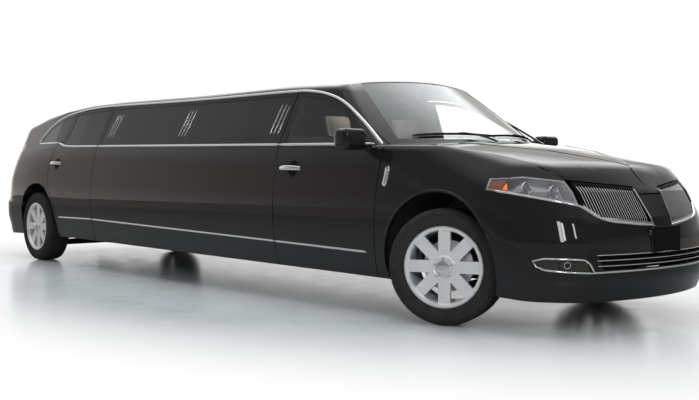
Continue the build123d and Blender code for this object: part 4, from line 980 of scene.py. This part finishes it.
# Profiles as distance along the axis and radius
PROJECTOR_RING = [(0, 0.040), (0.012, 0.042), (0.016, 0.039), (0.010, 0.034)]
PROJECTOR_LENS = [(0.004, 0.033), (0.014, 0.030), (0.022, 0.022), (0.027, 0.010), (0.028, 0.001)]
PROJECTOR_DEPTH = 0.052
FOG_GLASS = [(0, 0.016), (0.008, 0.016), (0.010, 0.013), (0.011, 0.001)]
FOG_RING = [(0, 0.0165), (0.010, 0.0165), (0.010, 0.0195), (0, 0.0195)]
FOG_DEPTH = 0.006
AMBER_CORNERS = [(3.512, 0.872), (3.640, 0.866), (3.610, 0.922), (3.515, 0.918)]
ahead = Vector((1, 0, 0))
for number, (y, z) in enumerate(((-0.705, 0.848), (-0.800, 0.872))):
    place, _ = on_nose(y, z)
    centre = place - ahead * PROJECTOR_DEPTH
    both_sides(lathe(centre, ahead, PROJECTOR_RING), f"projector_ring_{number}", "body", chrome, "lamp_bowl")
    both_sides(lathe(centre, ahead, PROJECTOR_LENS), f"projector_lens_{number}", "body", lens, "clear_glass")
fog_place, fog_out = on_nose(-0.742, 0.428)
fog_centre = fog_place - fog_out * FOG_DEPTH
both_sides(lathe(fog_centre, fog_out, FOG_GLASS), "fog_lamp_glass", "body", lens, "clear_glass")
both_sides(lathe(fog_centre, fog_out, FOG_RING, hollow=True), "fog_lamp_ring", "body", chrome, "lamp_bowl")
both_sides(skin_patch(AMBER_CORNERS, on_side, 0.0075, 0.004), "amber_marker", "body", amber, "red_lens")

# %% [markdown]
# Small fittings: the blank number plate, the wipers at the foot of the windscreen, a plain bright
# piece behind the front wheel arch, and the mirrors' glass.

# %% Small fittings
PLATE_LOW, PLATE_HIGH = Vector((4.1590, -0.152, 0.484)), Vector((4.1625, 0.152, 0.636))
PLATE_ROUND = 0.012


def rounded_plate(low, high, radius, steps=6):
    """Flat plate with rounded corners that faces ahead."""
    ring = []
    for cy, cz, start in ((high.y - radius, high.z - radius, 0), (low.y + radius, high.z - radius, 90),
                          (low.y + radius, low.z + radius, 180), (high.y - radius, low.z + radius, 270)):
        turns = [radians(start + 90 * k / steps) for k in range(steps + 1)]
        ring += [(cy + radius * cos(a), cz + radius * sin(a)) for a in turns]
    count = len(ring)
    verts = [Vector((low.x, y, z)) for y, z in ring] + [Vector((high.x, y, z)) for y, z in ring]
    faces = [(k, (k + 1) % count, count + (k + 1) % count, count + k) for k in range(count)]
    return verts, faces + [tuple(range(count)), tuple(count + k for k in range(count))]


plate = rounded_plate(PLATE_LOW, PLATE_HIGH, PLATE_ROUND)
add_piece("blank_plate", *plate, matt_black_and_shade, "body", "dark_plastic")


def screen_place(y, s, lift=0.0):
    sag = SCREEN_RADIUS - sqrt(SCREEN_RADIUS**2 - y * y)
    out = Vector((SCREEN_OUT.x, 0, SCREEN_OUT.z))
    place = SCREEN_FOOT + SCREEN_UP * s - out * sag + Vector((0, y, 0))
    normal = (out * sqrt(SCREEN_RADIUS**2 - y * y) + Vector((0, y, 0))).normalized()
    return place + normal * lift, normal


def screen_foot(y):
    """Distance up the glass at which its lower edge lies."""
    sag = SCREEN_RADIUS - sqrt(SCREEN_RADIUS**2 - y * y)
    edge = 2.792 - 0.232 * (y / 0.745) ** 2
    return (SCREEN_FOOT.x - SCREEN_OUT.x * sag - edge) / -SCREEN_UP.x


for number, (y_from, y_to) in enumerate(((-0.640, 0.030), (-0.060, 0.600))):
    laid = [screen_place(y, screen_foot(y) + 0.035 + 0.02 * sin(pi * (y - y_from) / (y_to - y_from)), 0.004)
            for y in np.linspace(y_from, y_to, 24)]
    blade = bar_along([p for p, _ in laid], [n for _, n in laid], 0.012, 0.014)
    add_piece(f"wiper_blade_{number}", *blade, plastic, "body", "dark_plastic")
    middle, normal = screen_place((y_from + y_to) / 2, screen_foot((y_from + y_to) / 2) + 0.05, 0.018)
    base_y = y_to - 0.05
    base, _ = screen_place(base_y, screen_foot(base_y) - 0.045, 0.010)
    arm_path = [base * (1 - t) + middle * t + normal * 0.016 * sin(pi * t) for t in np.linspace(0, 1, 12)]
    arm = bar_along(arm_path, [normal] * len(arm_path), 0.016, 0.009)
    add_piece(f"wiper_arm_{number}", *arm, plastic, "body", "dark_plastic")

both_sides(side_bar([(2.655, 1.008), (2.650, 0.940), (2.636, 0.876)], 0.040, 0.009, pitch=0.01),
           "fender_piece", "body", chrome, "bright_trim")
both_sides(rounded_plate(Vector((2.3600, -1.150, 1.134)), Vector((2.3635, -0.984, 1.246)), 0.030),
           "mirror_glass", "front_door_right", chrome, "bright_trim")

# %% [markdown]
# What repeats round a wheel, the blocks on the tyre's shoulders and the wheel nuts, is made by one
# Geometry Nodes tree: it sets copies of a small solid round a circle and makes them real. The
# result is turned onto the axle of each wheel. Rings on the tyre wall and a domed cap are turned.

# %% Wheel details


def ring_tree(finish):
    """Node tree that sets copies of a shape round a circle, and the keys of its count and radius."""
    tree = bpy.data.node_groups.new("ring_of_copies", "GeometryNodeTree")
    tree.interface.new_socket("Shape", in_out="INPUT", socket_type="NodeSocketGeometry")
    count = tree.interface.new_socket("Count", in_out="INPUT", socket_type="NodeSocketInt")
    radius = tree.interface.new_socket("Radius", in_out="INPUT", socket_type="NodeSocketFloat")
    tree.interface.new_socket("Ring", in_out="OUTPUT", socket_type="NodeSocketGeometry")
    inside = tree.nodes.new("NodeGroupInput")
    circle = tree.nodes.new("GeometryNodeMeshCircle")
    index = tree.nodes.new("GeometryNodeInputIndex")
    share = tree.nodes.new("ShaderNodeMath")
    share.operation = "DIVIDE"
    angle = tree.nodes.new("ShaderNodeMath")
    angle.operation = "MULTIPLY"
    angle.inputs[1].default_value = 2 * pi
    turn = tree.nodes.new("ShaderNodeCombineXYZ")
    copies = tree.nodes.new("GeometryNodeInstanceOnPoints")
    real = tree.nodes.new("GeometryNodeRealizeInstances")
    coloured = tree.nodes.new("GeometryNodeSetMaterial")
    coloured.inputs["Material"].default_value = finish.material
    outside = tree.nodes.new("NodeGroupOutput")
    links = (
        (inside.outputs["Count"], circle.inputs["Vertices"]),
        (inside.outputs["Radius"], circle.inputs["Radius"]),
        (index.outputs[0], share.inputs[0]),
        (inside.outputs["Count"], share.inputs[1]),
        (share.outputs[0], angle.inputs[0]),
        (angle.outputs[0], turn.inputs["Z"]),
        (circle.outputs[0], copies.inputs["Points"]),
        (inside.outputs["Shape"], copies.inputs["Instance"]),
        (turn.outputs[0], copies.inputs["Rotation"]),
        (copies.outputs[0], real.inputs[0]),
        (real.outputs[0], coloured.inputs["Geometry"]),
        (coloured.outputs[0], outside.inputs[0]),
    )
    for source, target in links:
        tree.links.new(source, target)
    return tree, count.identifier, radius.identifier


RINGS = {finish.material.name: ring_tree(finish) for finish in (rubber, chrome)}


def ring_of(name, verts, faces, count, radius, centre, out, finish, body, slot):
    """Copies of a small solid round an axle; the solid's x is away from the axle and z is outward."""
    tree, count_key, radius_key = RINGS[finish.material.name]
    mesh = bpy.data.meshes.new(name)
    mesh.from_pydata(verts, [], faces)
    piece = bpy.data.objects.new(name, mesh)
    bpy.context.scene.collection.objects.link(piece)
    modifier = piece.modifiers.new("ring", "NODES")
    modifier.node_group = tree
    modifier[count_key] = count
    modifier[radius_key] = radius
    shaped = bpy.data.meshes.new_from_object(piece.evaluated_get(bpy.context.evaluated_depsgraph_get()))
    piece.modifiers.clear()
    up = Vector((0, 0, 1))
    across = out.cross(up)
    for vert in shaped.vertices:
        x, y, z = vert.co
        vert.co = centre + up * x + across * y + out * z
    work = bmesh.new()
    work.from_mesh(shaped)
    bmesh.ops.recalc_face_normals(work, faces=work.faces[:])
    work.to_mesh(shaped)
    work.free()
    shaped.shade_smooth()
    shaped.set_sharp_from_angle(angle=radians(30))
    piece.data = shaped
    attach(piece, body)
    return piece


def prism(outline, half):
    """Solid between two copies of an (x, z) outline."""
    count = len(outline)
    verts = [(x, y, z) for y in (-half, half) for x, z in outline]
    faces = [tuple(range(count)), tuple(count + k for k in range(count))[::-1]]
    faces += [(k, (k + 1) % count, count + (k + 1) % count, count + k) for k in range(count)]
    return verts, faces


SHOULDER = [(0.3400, 0.1120), (0.3405, 0.1185), (0.3610, 0.1062), (0.3708, 0.0820), (0.3660, 0.0790)]
SHOULDER_RADIUS, SHOULDER_COUNT, SHOULDER_HALF = 0.30, 76, 0.0095
NUT_CIRCLE, NUT_COUNT, NUT_RADIUS = 0.05715, 5, 0.0108
# Inner and outer radius of each ring on the tyre wall, and how far out its face lies
WALL_RINGS = ((0.2760, 0.2810, 0.1155), (0.3240, 0.3270, 0.1196))
# Profiles as distance outward along the axle and radius
NUT = [(0.096, NUT_RADIUS), (0.1215, NUT_RADIUS), (0.1245, NUT_RADIUS * 0.6)]
HUB_CAP = [(0.095, 0.0455), (0.119, 0.0450), (0.126, 0.041), (0.129, 0.030), (0.1305, 0.015), (0.131, 0.001)]
RIM_LIP = [(0.110, 0.2500), (0.1140, 0.2510), (0.1150, 0.2545), (0.1140, 0.2580), (0.110, 0.2588)]
for joint in record["behaviour"]["joints"]:
    if not joint["name"].startswith("wheel_"):
        continue
    wheel = joint["child"]
    centre = Vector(joint["pos_m"])
    out = Vector(joint["axis"]).normalized() * (-1 if "right" in wheel else 1)
    for face, sign in (("outer", 1), ("inner", -1)):
        outline = [(x - SHOULDER_RADIUS, z * sign) for x, z in SHOULDER]
        ring_of(f"shoulder_{face}_{wheel}", *prism(outline, SHOULDER_HALF), SHOULDER_COUNT, SHOULDER_RADIUS,
                centre, out, rubber, wheel, "tyre")
    for number, (near, far, face) in enumerate(WALL_RINGS):
        section = [(face - 0.003, near), (face + 0.0012, near), (face + 0.0012, far), (face - 0.003, far)]
        wall_ring = lathe(centre, out, section, 72, hollow=True)
        add_piece(f"wall_ring_{number}_{wheel}", *wall_ring, rubber, wheel, "tyre")
    nut = lathe((0, 0, 0), (0, 0, 1), NUT, 6)
    ring_of("wheel_nuts_" + wheel, *nut, NUT_COUNT, NUT_CIRCLE, centre, out, chrome, wheel, "wheel_metal")
    add_piece("hub_cap_" + wheel, *lathe(centre, out, HUB_CAP, 48), chrome, wheel, "wheel_metal")
    rim_lip = lathe(centre, out, RIM_LIP, 96, hollow=True)
    add_piece("rim_lip_" + wheel, *rim_lip, chrome, wheel, "wheel_metal")

# %% [markdown]
# Seats are padded. Each cushion is a closed pillow: a rounded block whose top is crowned and whose
# sides pull in, with sewn channels pressed into its face. They replace the plain CAD blocks, and stay
# inside them.

# %% Padded seats
CHANNEL_DEPTH = 0.018
CORNER_POWER = 7


def cushion(name, low, high, finish, face_axis, channels, crown=0.03, slope=(0, 0)):
    """Pillow between two corners. face_axis is the padded face; channels is (across which axis, how many)."""
    low, high = Vector(low), Vector(high)
    centre, half = (low + high) / 2, (high - low) / 2
    work = bmesh.new()
    bmesh.ops.create_cube(work, size=2.0)
    bmesh.ops.subdivide_edges(work, edges=work.edges[:], cuts=15, use_grid_fill=True)
    axis, sign = face_axis
    others = [k for k in range(3) if k != axis]
    for vert in work.verts:
        p = vert.co.copy()
        radius = sum(abs(c) ** CORNER_POWER for c in p) ** (1 / CORNER_POWER)
        q = p / max(radius, 1e-6)
        edge = max(abs(p[others[0]]), abs(p[others[1]]))
        if q[axis] * sign > 0:
            puff = (1 - q[others[0]] ** 2) * (1 - q[others[1]] ** 2)
            across = q[others[channels[0]]]
            groove = abs(sin(pi * (across + 1) / 2 * channels[1])) ** 0.35
            press = CHANNEL_DEPTH * (1 - groove) * (edge < 0.95)
            q[axis] *= 1 - crown / half[axis] * (1 - puff) - press / half[axis]
        q[others[0]] *= 1 - 0.02 * (1 - q[axis] ** 2)
        vert.co = centre + Vector((q.x * half.x, q.y * half.y, q.z * half.z))
        vert.co.x += slope[0] * (vert.co.z - low.z)
        vert.co.z += slope[1] * (vert.co.x - centre.x)
    mesh = bpy.data.meshes.new(name)
    work.to_mesh(mesh)
    work.free()
    mesh.shade_smooth()
    mesh.materials.append(finish.material)
    piece = bpy.data.objects.new(name, mesh)
    bpy.context.scene.collection.objects.link(piece)
    soften = piece.modifiers.new("soften", "SUBSURF")
    soften.levels = soften.render_levels = 1
    shaped = bpy.data.meshes.new_from_object(piece.evaluated_get(bpy.context.evaluated_depsgraph_get()))
    piece.modifiers.clear()
    piece.data = shaped
    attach(piece, "body")
    return piece


for side, y in (("right", -0.380), ("left", 0.380)):
    seat = cushion("front_cushion_" + side, (1.560, y - 0.250, 0.540), (1.985, y + 0.250, 0.690),
                   leather, (2, 1), (1, 4), slope=(0, 0.08))
    cushion("front_squab_" + side, (1.520, y - 0.245, 0.650), (1.660, y + 0.245, 1.225), leather,
            (0, 1), (0, 4), slope=(-0.24, 0))
    cushion("front_headrest_" + side, (1.475, y - 0.130, 1.245), (1.565, y + 0.130, 1.410), leather,
            (0, 1), (0, 1), slope=(-0.24, 0))
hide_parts("front_seats")
bench = cushion("cabin_bench", (-1.790, 0.260, 0.350), (0.890, 0.680, 0.690), dark_leather, (2, 1), (0, 9))
cushion("cabin_bench_back", (-1.790, 0.570, 0.705), (0.890, 0.685, 1.110),
        dark_leather, (1, -1), (0, 9), crown=0.02)
cushion("cabin_rear_cushion", (-2.370, -0.640, 0.350), (-1.810, 0.640, 0.690), dark_leather, (2, 1), (1, 5))
cushion("cabin_rear_back", (-2.370, -0.640, 0.705), (-2.210, 0.640, 1.140),
        dark_leather, (0, 1), (0, 5), crown=0.02)
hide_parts("cabin_seats")

# %% [markdown]
# The studio is a pale floor that fades to plain white, with large soft lights overhead. Black paint
# shows only what it mirrors, so the surroundings are given their own grey tones for reflections,
# while the camera sees white.

# %% Floor
floor_finish = Finish("studio_floor", {"Specular IOR Level": 0.4})
floor_tree = floor_finish.tree
scuff = floor_finish.noise(2.2, 5)
floor_finish.surface(base_color=floor_finish.tint(scuff, (0.40, 0.44, 0.46), (0.54, 0.57, 0.59)),
                     roughness=0.16 + 0.12 * floor_finish.noise(5))
distance = floor_finish.node("ShaderNodeVectorMath", {"operation": "LENGTH"}, {
    0: floor_finish.node("ShaderNodeMapping", None, {
        "Vector": floor_finish.place(), "Scale": (0.55, 1.0, 1.0)}).outputs[0]})
fade = floor_finish.node("ShaderNodeMapRange", {"interpolation_type": "SMOOTHSTEP"}, {
    "Value": distance.outputs["Value"], "From Min": 1.9, "From Max": 3.6})
path = floor_finish.node("ShaderNodeLightPath")
seen = floor_finish.node("ShaderNodeMath", {"operation": "MULTIPLY"}, {
    0: fade.outputs[0], 1: path.outputs["Is Camera Ray"]})
white = floor_finish.node("ShaderNodeEmission", None, {"Color": (1.0, 1.0, 1.0), "Strength": 1.0})
mix = floor_finish.node("ShaderNodeMixShader", None, {
    0: seen.outputs[0], 1: floor_finish.shader.outputs[0], 2: white.outputs[0]})
far_off = floor_finish.node("ShaderNodeMapRange", {"interpolation_type": "SMOOTHSTEP"}, {
    "Value": distance.outputs["Value"], "From Min": 4.5, "From Max": 8.5})
far_share = Number(floor_finish, far_off.outputs[0])
dim = (0.45 + 0.55 * far_share) * Number(floor_finish, path.outputs["Is Glossy Ray"])
wall_foot = floor_finish.node("ShaderNodeEmission", None, {
    "Color": floor_finish.tint(far_share, (0.0, 0.0, 0.0), (0.30, 0.275, 0.26)), "Strength": 1.0})
mirrored = floor_finish.node("ShaderNodeMixShader", None, {
    0: dim, 1: mix.outputs[0], 2: wall_foot.outputs[0]})
floor_tree.links.new(mirrored.outputs[0], floor_tree.nodes["Material Output"].inputs["Surface"])
floor_mesh = bpy.data.meshes.new("floor")
floor_mesh.from_pydata([(-40, -40, 0), (40, -40, 0), (40, 40, 0), (-40, 40, 0)], [], [(0, 1, 2, 3)])
floor_mesh.materials.append(floor_finish.material)
floor = bpy.data.objects.new("floor", floor_mesh)
bpy.context.scene.collection.objects.link(floor)

# %% [markdown]
# Around the floor stands a hall in soft greys, which only mirrors and diffuse light see. Its near
# side is dim and its far side is brighter, and each is a product of two ramps, one by height and
# one by how far ahead the direction points.

# %% World and lights
FAR_WALL_GAIN = 0.55
world = bpy.data.worlds.new("studio")
bpy.context.scene.world = world
world.use_nodes = True
wt = world.node_tree
wt.nodes.clear()
coordinate = wt.nodes.new("ShaderNodeTexCoord")
split = wt.nodes.new("ShaderNodeSeparateXYZ")
wt.links.new(coordinate.outputs["Generated"], split.inputs[0])


def direction_ramp(axis, stops):
    """Colour or grey by one part of the direction, which is -1 at stop 0 and 1 at stop 1."""
    half = wt.nodes.new("ShaderNodeMath")
    half.operation = "MULTIPLY_ADD"
    half.inputs[1].default_value = 0.5
    half.inputs[2].default_value = 0.5
    wt.links.new(split.outputs[axis], half.inputs[0])
    ramp = wt.nodes.new("ShaderNodeValToRGB")
    while len(ramp.color_ramp.elements) < len(stops):
        ramp.color_ramp.elements.new(0.5)
    for element, (place, shade) in zip(ramp.color_ramp.elements, stops):
        element.position = place
        element.color = (*shade, 1) if isinstance(shade, tuple) else (shade, shade, shade, 1)
    wt.links.new(half.outputs[0], ramp.inputs[0])
    return ramp.outputs[0]


def mixed(kind, first, second, factor=1.0):
    node = wt.nodes.new("ShaderNodeMix")
    node.data_type = "RGBA"
    node.blend_type = kind
    if isinstance(factor, float):
        node.inputs[0].default_value = factor
    else:
        wt.links.new(factor, node.inputs[0])
    wt.links.new(first, node.inputs[6])
    wt.links.new(second, node.inputs[7])
    return node.outputs[2]


near_height = direction_ramp("Z", [
    (0.0, (0.50, 0.51, 0.53)), (0.495, (0.40, 0.38, 0.37)), (0.53, (0.30, 0.27, 0.255)),
    (0.60, (0.28, 0.255, 0.24)), (0.64, 0.40), (0.69, 0.24), (0.80, 0.30),
    (0.90, (1.30, 1.30, 1.32)), (1.0, 1.5)])
near_along = direction_ramp("X", [
    (0.0, 2.2), (0.03, 2.0), (0.075, 1.5), (0.115, 1.05), (0.18, 0.62), (0.35, 0.40), (1.0, 0.45)])
far_height = direction_ramp("Z", [
    (0.0, (0.50, 0.51, 0.53)), (0.495, (0.55, 0.55, 0.56)), (0.53, 1.0),
    (0.575, (0.9, 0.89, 0.88)), (0.625, (0.40, 0.38, 0.36)), (0.68, (0.55, 0.54, 0.53)),
    (0.73, (1.5, 1.52, 1.55)), (0.88, (1.6, 1.62, 1.65))])
far_along = direction_ramp("X", [(0.0, 1.0), (0.36, 1.0), (0.48, 0.25), (0.65, 0.12), (1.0, 0.18)])
near_wall = mixed("MULTIPLY", near_height, near_along)
far_wall = mixed("MULTIPLY", far_height, far_along)
side = wt.nodes.new("ShaderNodeMapRange")
side.interpolation_type = "SMOOTHSTEP"
side.inputs["From Min"].default_value = -0.15
side.inputs["From Max"].default_value = 0.45
wt.links.new(split.outputs["Y"], side.inputs["Value"])
walls = mixed("MIX", near_wall, far_wall, side.outputs[0])
studio_light = wt.nodes.new("ShaderNodeBackground")
wt.links.new(walls, studio_light.inputs["Color"])
plain_white = wt.nodes.new("ShaderNodeBackground")
plain_white.inputs["Color"].default_value = (1, 1, 1, 1)
ray = wt.nodes.new("ShaderNodeLightPath")
mirrored_far = wt.nodes.new("ShaderNodeMath")
mirrored_far.operation = "MULTIPLY"
wt.links.new(ray.outputs["Is Glossy Ray"], mirrored_far.inputs[0])
wt.links.new(side.outputs[0], mirrored_far.inputs[1])
hall_strength = wt.nodes.new("ShaderNodeMath")
hall_strength.operation = "MULTIPLY_ADD"
hall_strength.inputs[1].default_value = FAR_WALL_GAIN
hall_strength.inputs[2].default_value = 1.0
wt.links.new(mirrored_far.outputs[0], hall_strength.inputs[0])
wt.links.new(hall_strength.outputs[0], studio_light.inputs["Strength"])
choose = wt.nodes.new("ShaderNodeMixShader")
wt.links.new(ray.outputs["Is Camera Ray"], choose.inputs[0])
wt.links.new(studio_light.outputs[0], choose.inputs[1])
wt.links.new(plain_white.outputs[0], choose.inputs[2])
out = wt.nodes.new("ShaderNodeOutputWorld")
wt.links.new(choose.outputs[0], out.inputs[0])


def soft_light(name, place, target, size, power, mirrored=False):
    data = bpy.data.lights.new(name, "AREA")
    data.shape = "RECTANGLE"
    data.size, data.size_y = size
    data.energy = power
    light = bpy.data.objects.new(name, data)
    light.location = place
    light.rotation_euler = (Vector(target) - Vector(place)).to_track_quat("-Z", "Y").to_euler()
    light.visible_glossy = mirrored
    light.visible_camera = False
    light.visible_transmission = False
    bpy.context.scene.collection.objects.link(light)


soft_light("overhead", (0.5, -0.5, 5.2), (0.5, 0, 0), (9.0, 3.0), 330)
soft_light("front_fill", (8.5, -4.5, 3.6), (2.5, 0, 0.6), (3.0, 2.0), 170)
soft_light("wheel_fill", (5.4, -6.5, 1.3), (3.1, -0.9, 0.4), (1.6, 1.0), 55)
soft_light("side_fill", (-1.5, -8.0, 3.4), (-1.0, 0, 0.8), (8.0, 1.6), 130)
soft_light("cabin_front", (1.90, -0.10, 1.56), (1.80, -0.20, 0.7), (0.6, 0.9), 7)
for number, (x, y, z, wide, tall, power) in enumerate((
        (7.9, -4.0, 2.3, 0.16, 1.0, 8), (8.3, -4.7, 2.6, 0.30, 1.5, 16), (7.3, -2.6, 1.9, 0.10, 0.8, 3))):
    soft_light(f"banner_{number}", (x, y, z), (3.9, -0.8, 0.7), (wide, tall), power, mirrored=True)
